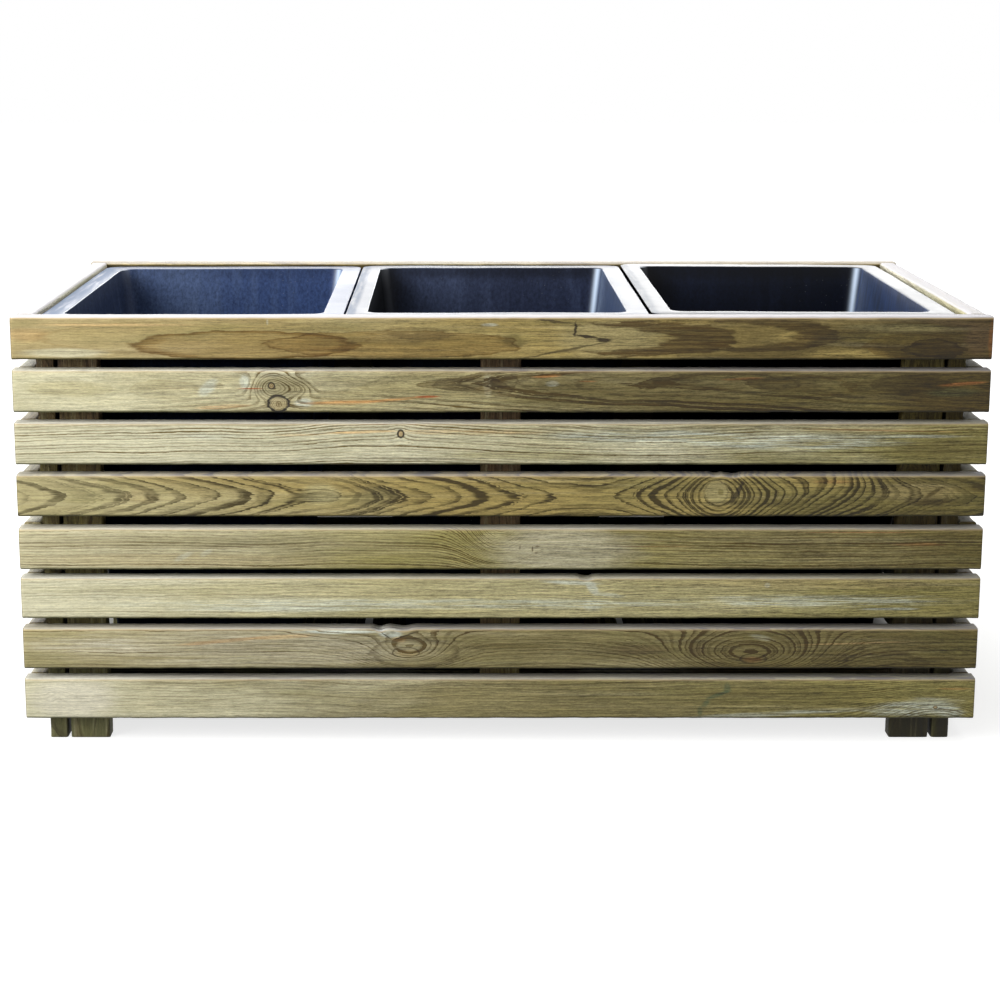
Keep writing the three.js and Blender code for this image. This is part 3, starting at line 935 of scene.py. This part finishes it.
def planed_blank(size, easing):
    """A gridded board round the origin, with its long arrises eased and its ends sawn."""
    shape = bmesh.new()
    bmesh.ops.create_cube(shape, size=1, matrix=Matrix.Diagonal((*size, 1)))
    for axis, step in enumerate(MESH_STEP):
        across = [e for e in shape.edges if abs(e.verts[0].co[axis] - e.verts[1].co[axis]) > step]
        cuts = round(size[axis] / step) - 1
        bmesh.ops.subdivide_edges(shape, edges=across, cuts=cuts, use_grid_fill=True)
    half = size / 2
    arrises = [e for e in shape.edges if all(on_arris(v.co, half) for v in e.verts)]
    ease(shape, arrises, easing, ARRIS_SEGMENTS)
    ends = [e for e in shape.edges if all(abs(abs(v.co.x) - half.x) < TOUCHING for v in e.verts)]
    rims = [e for e in ends if any(abs(face.normal.x) < 0.5 for face in e.link_faces)]
    ease(shape, rims, END_EASING, 2)
    return shape


def on_arris(place, half):
    return abs(abs(place.y) - half.y) < TOUCHING and abs(abs(place.z) - half.z) < TOUCHING


def ease(shape, edges, radius, segments):
    bmesh.ops.bevel(
        shape, geom=edges, affect="EDGES", offset=radius, offset_type="OFFSET",
        segments=segments, profile=0.5, material=-1, clamp_overlap=True
    )


def wear(shape, size, easing, seed, chips):
    """Planes the faces a little hollow, rubs the arrises and knocks out chips, all inward."""
    half = size / 2
    for vert in shape.verts:
        place = vert.co
        spot = Vector((place.x * 9 + seed * 3.7, place.y * 40 + seed, place.z * 24 - seed))
        bow = 0.5 + 0.5 * noise.noise(spot)
        corner = min(half.y - abs(place.y), half.z - abs(place.z)) < easing * 0.9
        beside = max(half.y - abs(place.y), half.z - abs(place.z)) < easing * 1.6
        loss = FACE_WEAR * bow
        if corner and beside:
            rub = noise.noise(Vector((place.x * 60 + seed, place.y * 90, place.z * 60)))
            nick = noise.noise(Vector((place.x * 210 - seed, place.y * 50, place.z * 30)))
            loss += ARRIS_WEAR * max(0.0, 0.3 + 0.7 * rub + 0.5 * nick)
        place.y -= math.copysign(min(loss, abs(place.y)), place.y)
        place.z -= math.copysign(min(loss, abs(place.z)), place.z)
        for along, up, reach, depth in chips:
            away = math.hypot(place.x - along, place.z - up) / reach
            if away < 1:
                place.z -= math.copysign(depth * (1 - away * away), up)


def finished(name, shape, turn, centre, material, body, nodes):
    """A bmesh as a piece of the object, placed, smoothed and riding on its body."""
    bmesh.ops.transform(shape, matrix=Matrix.Translation(centre) @ turn, verts=shape.verts)
    mesh = mesh_of(name, shape)
    mesh.shade_smooth()
    mesh.set_sharp_from_angle(angle=math.radians(SHARP_DEGREES))
    mesh.materials.append(material)
    piece = placed(name, mesh)
    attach(piece, body)
    if nodes:
        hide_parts(*nodes)


BLANKS = {}


def add_board(node, along, inward, easing, look, chips=()):
    board = Board(node, along, inward)
    kind = (tuple(round(part, 5) for part in board.size), easing)
    if kind not in BLANKS:
        BLANKS[kind] = planed_blank(board.size, easing)
    shape = BLANKS[kind].copy()
    wear(shape, board.size, easing, look["seed"], chips)
    material = wood_finish(node + " wood", board, look)
    finished(node + "_board", shape, board.turn, board.centre, material, "box", [node])


# Knocked-out spots of the front slats: along, up, reach and depth in metres
FRONT_CHIPS = {
    2: [(-0.497, -0.004, 0.006, 0.0006)],
    4: [(0.240, 0.0225, 0.010, 0.0016), (0.222, 0.0225, 0.005, 0.0012)],
    6: [(0.090, 0.0225, 0.009, 0.0022)],
    7: [(-0.126, 0.0225, 0.007, 0.0026), (-0.102, 0.0225, 0.012, 0.0018)],
}

# The way to the inside of the box from each panel, and the way its slats run
INWARD = {"front": (0, 1, 0), "back": (0, -1, 0), "left": (1, 0, 0), "right": (-1, 0, 0)}
SLATS_RUN = {"front": (1, 0, 0), "back": (-1, 0, 0), "left": (0, -1, 0), "right": (0, 1, 0)}

# The other panels' top slats, whose upper edges the photograph shows
TOP_SLATS = {
    "back": {"left": HONEY, "middle": TAN, "right": HONEY, "arris": BACK_ARRIS},
    "left": {"left": CHALK, "middle": CREAM, "right": CHALK, "arris": SIDE_ARRIS, "edge": 1.2},
    "right": {"left": STRAW, "middle": CREAM, "right": CHALK, "arris": SIDE_ARRIS, "edge": 0.3},
}
SLAT_ROWS = range(1, 9)
FLOOR_ROWS = range(1, 10)
SLAT_TONES = (CREAM, STRAW, TAN, OLIVE, STRAW, GREY_BROWN)
BATTEN_TINTS = (HEART, DARK_UMBER, UMBER)

# The battens' tones from the foot up. Those on the right of the box are darker, a painted fall of
# light, and all are kept dark, partly as painted shade behind the slats.
BATTEN_TONES = {
    "left": (GREEN_BROWN, UMBER, WALNUT),
    "middle": (UMBER, WALNUT, WALNUT),
    "right": (BLACK_BROWN, DARK_UMBER, UMBER),
}
# The floor's tones, near black: painted shade for the inside of the box
FLOOR_TONES = (BLACK_BROWN, BLACK_BROWN, DARK_UMBER)

BATTEN_SPOTS = {
    "front": ("left", "middle", "right"),
    "back": ("left", "middle", "right"),
    "left": ("front", "back"),
    "right": ("front", "back"),
}
SLAT_SEEDS = {"back": 20, "left": 30, "right": 40}
FIRST_BATTEN_SEED = 61
FIRST_FLOOR_SEED = 81


def slat_look(panel, row):
    if panel == "front":
        return FRONT_LOOKS[row - 1]
    exposure = OPEN if row == 1 and panel != "back" else OPEN * 0.5
    look = chance_look(SLAT_SEEDS[panel] + row, SLAT_TONES, exposure)
    if row == 1:
        look.update(TOP_SLATS[panel])
    return look


def add_slats():
    for row in SLAT_ROWS:
        for panel, along in SLATS_RUN.items():
            chips = FRONT_CHIPS.get(row, ()) if panel == "front" else ()
            look = slat_look(panel, row)
            name = f"{panel}_slat_{row}"
            add_board(name, along, INWARD[panel], SLAT_EASING, look, chips)


def add_battens():
    spots = [(panel, spot) for panel, spots in BATTEN_SPOTS.items() for spot in spots]
    for seed, (panel, spot) in enumerate(spots, FIRST_BATTEN_SEED):
        tones = BATTEN_TONES[panel if panel in BATTEN_TONES else spot]
        look = chance_look(seed, tones, INSIDE, (0.8, 1.3), BATTEN_TINTS)
        look.update(left=tones[0], middle=tones[1], right=tones[2])
        name = f"{panel}_batten_{spot}"
        add_board(name, (0, 0, 1), INWARD[panel], BATTEN_EASING, look)


def add_floor_boards():
    runs = {f"floor_bearer_{side}": (SLATS_RUN[side], INWARD[side]) for side in ("front", "back")}
    runs.update({f"floor_board_{row}": ((0, 1, 0), (0, 0, -1)) for row in FLOOR_ROWS})
    for seed, (name, (along, inward)) in enumerate(runs.items(), FIRST_FLOOR_SEED):
        look = chance_look(seed, FLOOR_TONES, INSIDE, tints=BATTEN_TINTS)
        if name.startswith("floor_board"):
            look["shine"] = 0.0
        add_board(name, along, inward, BATTEN_EASING, look)


# Pots

# Colours on the pots: painted shade in hidden parts, the painted unlit side, painted highlights on the
# inner corner and the lip, dust, and scuffs that also paint a dull reflection
PAINTED_SHADE_PLASTIC = linear(4, 5, 8)
UNLIT_PLASTIC = linear(3, 4, 6)
PAINTED_CORNER_HIGHLIGHT = linear(190, 208, 230)
PAINTED_LIP_HIGHLIGHT = linear(232, 238, 246)
DUST = linear(176, 178, 176)
DULL_REFLECTION_SCUFF = linear(84, 100, 122)
PLASTIC_RELIEF = 0.05

# Each pot's plastic: its plain colour, whose blue is a painted sky reflection and which is lighter in
# the left pot and darker in the right as a painted fall of light;
# where water has run down it, a colour also used for a painted sheen; and the painted light on its
# inner walls that face the light on the left. The strip at the left of its rim is scuffed, in a colour
# that also paints a dull reflection: how wide in metres, and how much.
# The shade is how dark the painted shade is in the hidden parts of its inside and on its walls turned
# from the light.
POT_FINISH = {
    "pot_left": {
        "plain": linear(48, 62, 94),
        "run": linear(86, 100, 126),
        "bleach": linear(80, 104, 148),
        "strip": 0.024,
        "scuff": 0.75,
        "shade": 0.3,
    },
    "pot_middle": {
        "plain": linear(38, 44, 62),
        "run": linear(72, 82, 108),
        "bleach": linear(48, 66, 100),
        "strip": 0.013,
        "scuff": 0.5,
        "shade": 0.85,
    },
    "pot_right": {
        "plain": linear(14, 18, 28),
        "run": linear(30, 36, 54),
        "bleach": linear(40, 58, 98),
        "strip": 0.012,
        "scuff": 0.2,
        "shade": 0.85,
    },
}


def pot_plastic(name, left_edge):
    """Dark moulded plastic, satin, lightly textured, dusty and scuffed on its rim, its blue a painted
    sky reflection, with painted shade, painted light and painted highlights inside it.
    """
    finish = POT_FINISH[name]
    material, surface, point = blank_finish(name + " plastic")
    tree = material.node_tree
    facing_right, facing_back, facing_up = facing(tree)
    clouds = point.stretched(9, 9, 9).noise(3)
    runs = point.stretched(70, 70, 6, 4.0).noise(3)
    grain = point.stretched(1400, 1400, 1400, 8.0).noise(1)
    specks = point.make("TexVoronoi", {"Vector": point, "Scale": 190.0})
    fleck = (1 - specks.rise(0.03, 0.1)) * clouds.rise(0.5, 0.7) * 0.3
    dust = facing_up.rise(0.85, 1.0) * (clouds * 0.5 + runs * 0.3 + 0.15) * 0.24
    across, depth, level = point.parts()
    from_left = across - left_edge
    # A painted sheen on the left of the back wall, mixed in with the water runs
    sheen = ((from_left - 0.09) / 0.05).bell() * 0.4
    runs_and_sheen = runs.rise(0.45, 0.8) * 0.25 + sheen
    colour = runs_and_sheen.between(finish["plain"], finish["run"])
    mottle = point.stretched(320, 320, 200, 6.0).noise(3, 0.7) * 1.8 + 0.1
    colour = colour.shaded(mottle)
    # Painted shade near the left wall and just under the rim
    painted_hidden_shade = (1 - from_left.rise(0.03, 0.08)).math("MAXIMUM", level.rise(0.436, 0.45) * 0.7)
    painted_hidden_shade = painted_hidden_shade * (1 - facing_up.rise(0.4, 0.9))
    colour = colour.toward(PAINTED_SHADE_PLASTIC, painted_hidden_shade * finish["shade"])
    # Painted light, in streaks, on the right half's walls that face the light on the left
    streaks = point.stretched(230, 230, 5, 9.0).noise(3).rise(0.3, 0.7)
    right_half = from_left.rise(0.12, 0.2)
    painted_wall_light = (facing_right * -1).rise(0.5, 0.98) * (streaks * 0.6 + 0.15) * right_half
    colour = colour.toward(finish["bleach"], painted_wall_light)
    # A painted highlight down the inner corner on the right
    corner = ((facing_right + 0.62) / 0.2).bell() * (1 - facing_up.rise(0.3, 0.6)) * right_half
    colour = colour.toward(PAINTED_CORNER_HIGHLIGHT, corner * 0.8)
    # Painted shade on walls that face away from the light on the left, and on the outer left wall
    outer_left = (facing_right * -1).rise(0.5, 0.95) * (1 - right_half)
    side_away_from_light = facing_right.rise(0.4, 0.95).math("MAXIMUM", outer_left)
    colour = colour.toward(UNLIT_PLASTIC, side_away_from_light * (finish["shade"] - 0.1))
    # Painted shade on the outer front and back walls
    outer_wall = (facing_back * depth).rise(0.06, 0.12)
    colour = colour.toward(UNLIT_PLASTIC, outer_wall * 0.8)
    # A painted highlight along the rim's rounded inner edge over the left wall
    lip = ((facing_up - 0.72) / 0.3).bell() * facing_right.rise(0.2, 0.5) * (1 - right_half)
    colour = colour.toward(PAINTED_LIP_HIGHLIGHT, lip)
    colour = colour.toward(DUST, dust + fleck)
    # Scratches and scuffs at the left of the rim, in a blue-grey that also paints a dull reflection
    scratches = point.stretched(150, 14, 150, 3.0).noise(3).rise(0.3, 0.55)
    strip = finish["strip"]
    scuff = (1 - from_left.rise(strip * 0.5, strip)) * facing_up.rise(0.8, 0.95) * scratches
    scuff = scuff * finish["scuff"]
    colour = colour.toward(DULL_REFLECTION_SCUFF, scuff)
    dress(tree, surface, colour, clouds * 0.16 + runs * 0.1 + scuff * 0.3 + 0.2)
    emboss(tree, surface, grain * 0.5 + runs, PLASTIC_RELIEF)
    # Shaded and outer walls also lose gloss, with their painted shade
    gloss = (facing_up.rise(0.5, 0.9) * 0.38 + 0.14) * (1 - side_away_from_light) * (1 - outer_wall)
    plug(tree, surface.inputs["Specular IOR Level"], gloss)
    return material


def rounded_outline(shape, half_width, half_depth, radius):
    """A level rectangle with round corners, its straight sides in short steps."""
    bmesh.ops.create_grid(shape, x_segments=1, y_segments=1, size=1)
    bmesh.ops.scale(shape, vec=(half_width, half_depth, 1), verts=shape.verts)
    bmesh.ops.bevel(
        shape, geom=list(shape.verts), affect="VERTICES", offset=radius,
        offset_type="OFFSET", segments=8, profile=0.5, material=-1, clamp_overlap=True
    )
    bmesh.ops.delete(shape, geom=list(shape.faces), context="FACES_ONLY")
    straight = [edge for edge in shape.edges if edge.calc_length() > 10 * radius]
    bmesh.ops.subdivide_edges(shape, edges=straight, cuts=28)
    return list(shape.edges)


def moved_verts(shape, made, wider, deeper, rise):
    """The corners of newly made geometry, scaled about the middle and raised."""
    verts = [item for item in made["geom"] if isinstance(item, bmesh.types.BMVert)]
    bmesh.ops.scale(shape, vec=(wider, deeper, 1), verts=verts)
    bmesh.ops.translate(shape, vec=(0, 0, rise), verts=verts)
    return set(verts)


def drawn_on(shape, edges, wider, deeper, rise):
    """An outline pulled on with a wall behind it, as its new edges."""
    made = bmesh.ops.extrude_edge_only(shape, edges=edges)
    new = moved_verts(shape, made, wider, deeper, rise)
    return [edge for edge in shape.edges if all(vert in new for vert in edge.verts)]


def arc(steps):
    return [math.pi / 2 * step / steps for step in range(steps + 1)]


def pot_section(height):
    """The pot's wall from under its base, up outside and down inside: inset and level."""
    def wall(level):
        return RIM_WIDTH - level * POT_DRAFT

    base = -height
    stand = wall(base) + BASE_FILLET
    section = [(stand + STAND_WIDTH + STAND_RISE, base + STAND_RISE), (stand + STAND_WIDTH, base)]
    for angle in arc(6):
        level = base + BASE_FILLET * (1 - math.cos(angle))
        section.append((wall(level) + BASE_FILLET * (1 - math.sin(angle)), level))
    for share in (0.25, 0.5, 0.75):
        level = base * (1 - share)
        section.append((wall(level), level))
    section.append((wall(-RIM_THICKNESS), -RIM_THICKNESS))
    section.append((LIP_THICKNESS, -RIM_THICKNESS))
    section.append((LIP_THICKNESS, -LIP_DEPTH))
    section.append((0, -LIP_DEPTH))
    for angle in arc(3):
        section.append((RIM_EASING * (1 - math.cos(angle)), RIM_EASING * (math.sin(angle) - 1)))
    mouth = wall(0) + POT_WALL
    section.append((mouth - 3 * RIM_EASING, 0))
    for angle in arc(3):
        section.append((mouth - RIM_EASING * (1 - math.sin(angle)), RIM_EASING * (math.cos(angle) - 1)))
    for share in (0.06, 0.15, 0.25, 0.5, 0.75):
        level = base * share
        section.append((wall(level) + POT_WALL, level))
    floor = base + STAND_RISE + POT_BASE
    for angle in arc(6):
        level = floor + BASE_FILLET * (1 - math.sin(angle))
        section.append((wall(level) + POT_WALL + BASE_FILLET * (1 - math.cos(angle)), level))
    return section


def pot_shape(width, depth, height):
    """A drafted pot with a flat rim, a turned-down lip, a standing ring and drain holes."""
    shape = bmesh.new()
    places = [(width / 2 - inset, depth / 2 - inset, level) for inset, level in pot_section(height)]
    outline = rounded_outline(shape, places[0][0], places[0][1], RIM_RADIUS)
    bmesh.ops.translate(shape, vec=(0, 0, places[0][2]), verts=shape.verts)
    underside = list(outline)
    for before, after in zip(places, places[1:]):
        wider, deeper = after[0] / before[0], after[1] / before[1]
        outline = drawn_on(shape, outline, wider, deeper, after[2] - before[2])
    inside = list(outline)
    spacing = Vector((places[0][0], places[0][1] * 2 / 3))
    for share_x, share_y in DRAIN_PLACES:
        place = Matrix.Translation((share_x * spacing.x, share_y * spacing.y, places[0][2]))
        hole = bmesh.ops.create_circle(shape, segments=20, radius=DRAIN_RADIUS, matrix=place)["verts"]
        lower = list({edge for vert in hole for edge in vert.link_edges})
        underside += lower
        inside += drawn_on(shape, lower, 1, 1, places[-1][2] - places[0][2])
    for edges in (underside, inside):
        bmesh.ops.triangle_fill(shape, edges=edges, use_beauty=True, use_dissolve=False)
    bmesh.ops.recalc_face_normals(shape, faces=shape.faces)
    return shape


# How far each pot's rim stands off its drawn height: overall, to the right and to the back
RIM_STANCE = {
    "pot_left": (-1.2 * MM, 0.3 * MM, 0.5 * MM),
    "pot_middle": (0.3 * MM, 0.2 * MM, 0.3 * MM),
    "pot_right": (1.6 * MM, -0.5 * MM, 0.5 * MM),
}


def settle_pot(shape, stance, width, depth, height, seed):
    """Lets the thin plastic wave: most at the rim, and nothing at the base."""
    lift, to_right, to_back = stance
    for vert in shape.verts:
        place = vert.co
        share = max(0.0, 1 + place.z / height) ** 2
        spot = Vector((place.x * 14 + seed, place.y * 14 - seed, seed))
        ripple = noise.noise(spot)
        pull = noise.noise(spot * 0.6 + Vector((5, 9, 2)))
        rise = lift + to_right * place.x / width * 2 + to_back * place.y / depth * 2
        place.z += share * (rise + 0.35 * MM * (ripple - 0.6))
        place.x -= math.copysign(share * 0.5 * MM * abs(pull), place.x)
        place.y -= math.copysign(share * 0.5 * MM * abs(ripple), place.y)


def add_pots():
    for seed, name in enumerate(RIM_STANCE):
        low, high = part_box(name)
        plastic = pot_plastic(name, low.x)
        width, depth, height = high - low
        shape = pot_shape(width, depth, height)
        settle_pot(shape, RIM_STANCE[name], width, depth, height, seed * 7.3)
        top = Vector(((low.x + high.x) / 2, (low.y + high.y) / 2, high.z))
        finished(name + "_shell", shape, Matrix.Identity(4), top, plastic, name, [name])


# Screws

BRIGHT_ZINC = linear(196, 190, 170)
DULL_ZINC = linear(120, 96, 66)


def screw_steel():
    material, surface, point = blank_finish("zinc-plated screw")
    surface.inputs["Metallic"].default_value = 1.0
    tarnish = point.stretched(300, 300, 300).noise(3)
    colour = tarnish.rise(0.4, 0.8).between(BRIGHT_ZINC, DULL_ZINC)
    dress(material.node_tree, surface, colour, tarnish * 0.35 + 0.2)
    return material


def screw_head():
    """A countersunk head with a cross recess, facing +Z with its face at the origin."""
    shape = bmesh.new()
    bmesh.ops.create_grid(shape, x_segments=3, y_segments=3, size=SCREW_RADIUS * 0.55)
    middle = SCREW_RADIUS * 0.2
    corners = [f for f in shape.faces if min(map(abs, f.calc_center_median().xy)) > middle]
    bmesh.ops.delete(shape, geom=corners, context="FACES")
    cross = [edge for edge in shape.edges if edge.is_boundary]
    ring = bmesh.ops.create_circle(shape, segments=SCREW_SIDES, radius=SCREW_RADIUS)["verts"]
    around = list({edge for vert in ring for edge in vert.link_edges})
    bmesh.ops.bridge_loops(shape, edges=cross + around)
    reach = SCREW_RADIUS * 0.6
    pit = [face for face in shape.faces if max(v.co.xy.length for v in face.verts) < reach]
    made = bmesh.ops.extrude_face_region(shape, geom=pit)
    bmesh.ops.delete(shape, geom=pit, context="FACES")
    moved_verts(shape, made, 0.6, 0.6, -SCREW_SINK * 0.6)
    tip = drawn_on(shape, around, 0.55, 0.55, -SCREW_SINK)
    bmesh.ops.contextual_create(shape, geom=tip)
    bmesh.ops.recalc_face_normals(shape, faces=shape.faces)
    return shape


def screws_into_slats(batten):
    """Two screws from a batten into each slat of its panel: where, and which way they face."""
    panel = batten.split("_")[0]
    low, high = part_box(batten)
    way = Vector(INWARD[panel])
    face = (low + high) / 2 + Vector([way[axis] * (high - low)[axis] / 2 for axis in range(3)])
    side = way.cross(Vector((0, 0, 1)))
    for row in SLAT_ROWS:
        slat_low, slat_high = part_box(f"{panel}_slat_{row}")
        level = (slat_low.z + slat_high.z) / 2
        for step in (-1, 1):
            place = face + side * step * SLAT_SCREW_OFFSET[0]
            place.z = level + step * SLAT_SCREW_OFFSET[1]
            if place.z < high.z - CLEAR_OF_TOP:
                yield place, way


def screws_into_bearers(board):
    """Two screws up through each end of a floor board."""
    low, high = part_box(board)
    for side in ("front", "back"):
        bearer_low, bearer_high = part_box(f"floor_bearer_{side}")
        for step in (-1, 1):
            place = Vector(((low.x + high.x) / 2 + step * FLOOR_SCREW_OFFSET, 0, low.z))
            place.y = (bearer_low.y + bearer_high.y) / 2
            yield place, Vector((0, 0, -1))


def screw_places():
    """The screws of each panel and of the floor."""
    panels = {}
    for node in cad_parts:
        panel, kind = node.split("_")[:2]
        if kind == "batten":
            panels.setdefault(panel, []).extend(screws_into_slats(node))
        if node.startswith("floor_board"):
            panels.setdefault("floor", []).extend(screws_into_bearers(node))
    return panels


def add_screws():
    steel = screw_steel()
    source = mesh_of("screw head", screw_head())
    pick = random.Random(5)
    for panel, places in screw_places().items():
        shape = bmesh.new()
        for place, way in places:
            before = len(shape.verts)
            shape.from_mesh(source)
            shape.verts.ensure_lookup_table()
            turn = way.to_track_quat("Z", "Y").to_matrix().to_4x4()
            spin = Matrix.Rotation(pick.uniform(0, math.pi / 2), 4, "Z")
            matrix = Matrix.Translation(place) @ turn @ spin
            bmesh.ops.transform(shape, matrix=matrix, verts=shape.verts[before:])
        finished(f"{panel}_screws", shape, Matrix.Identity(4), Vector(), steel, "box", [])
    bpy.data.meshes.remove(source)


# Scene


def add_camera():
    lens = bpy.data.cameras.new("camera")
    lens.sensor_width = SENSOR_WIDTH
    lens.lens = FOCAL_PIXELS / PHOTO_PIXELS * SENSOR_WIDTH
    lens.shift_x, lens.shift_y = CAMERA_SHIFT
    camera = placed("camera", lens)
    camera.location = CAMERA_PLACE
    camera.rotation_euler = (math.radians(90 - CAMERA_PITCH_DEGREES), 0, 0)
    bpy.context.scene.camera = camera


def seen_directly(tree):
    """1 for what the camera sees, straight on, mirrored or through glass."""
    path = tree.nodes.new("ShaderNodeLightPath")
    camera = Signal(tree, path.outputs["Is Camera Ray"])
    glossy = Signal(tree, path.outputs["Is Glossy Ray"])
    through = Signal(tree, path.outputs["Is Transmission Ray"])
    return camera.math("MAXIMUM", glossy).math("MAXIMUM", through)


def add_world():
    world = bpy.data.worlds.new("white studio")
    world.use_nodes = True
    tree = world.node_tree
    background = tree.nodes["Background"]
    background.inputs["Color"].default_value = (1, 1, 1, 1)
    plug(tree, background.inputs["Strength"], seen_directly(tree) * (1 - AMBIENT) + AMBIENT)
    bpy.context.scene.world = world


def add_floor():
    material, surface, point = blank_finish("pale floor")
    tree = material.node_tree
    dress(tree, surface, FLOOR_COLOUR, 0.9)
    surface.inputs["Specular IOR Level"].default_value = 0.0
    surface.inputs["Emission Color"].default_value = (1, 1, 1, 1)
    x, y, _ = point.parts()
    # Painted shadow: the glow fades near the box and is gone under it
    beside = ((x - SHADE_MIDDLE[0]).math("ABSOLUTE") - SHADE_HALF_SIZE[0]).math("MAXIMUM", 0)
    beyond = ((y - SHADE_MIDDLE[1]).math("ABSOLUTE") - SHADE_HALF_SIZE[1]).math("MAXIMUM", 0)
    away = beside.diagonal(beyond)
    glow = away.rise(*SHADE_FADE) * (1 - SHADOW_GLOW) + SHADOW_GLOW
    lit = away.rise(*SHADE_CORE_FADE) * glow
    plug(tree, surface.inputs["Emission Strength"], seen_directly(tree) * lit)
    shape = bmesh.new()
    bmesh.ops.create_grid(shape, x_segments=1, y_segments=1, size=FLOOR_REACH)
    mesh = mesh_of("floor", shape)
    mesh.materials.append(material)
    floor = placed("floor", mesh)


def add_softbox(name, place, target, width, height, brightness):
    """A square-cornered soft light. Brightness 1 is as bright as white paper in daylight."""
    light = bpy.data.lights.new(name, "AREA")
    light.shape = "RECTANGLE"
    light.size = width
    light.size_y = height
    light.energy = brightness * math.pi * width * height
    softbox = placed(name, light)
    softbox.location = place
    softbox.rotation_euler = (Vector(target) - Vector(place)).to_track_quat("-Z", "Y").to_euler()
    softbox.visible_camera = False


def add_lights():
    add_softbox("window on the left", (-1.95, -1.15, 1.25), (-0.2, 0, 0.2), 1.4, 1.4, 12.8)
    add_softbox("roof light", (-0.3, 0.2, 2.4), (0, 0, 0.3), 2.4, 2.0, 3.3)
    add_softbox("low strip behind", (0, 6.0, 1.3), (0, 0, 0.45), 5.0, 1.6, 3.4)
    add_softbox("high light behind", (0.8, 1.9, 2.5), (0, 0, 0.3), 1.4, 1.2, 2.4)
    add_softbox("right fill", (2.4, -0.4, 1.1), (0.3, 0, 0.2), 1.4, 1.4, 0.4)


bpy.context.scene.view_settings.view_transform = "Standard"
add_camera()
add_world()
add_floor()
add_lights()
add_slats()
add_battens()
add_floor_boards()
add_pots()
add_screws()
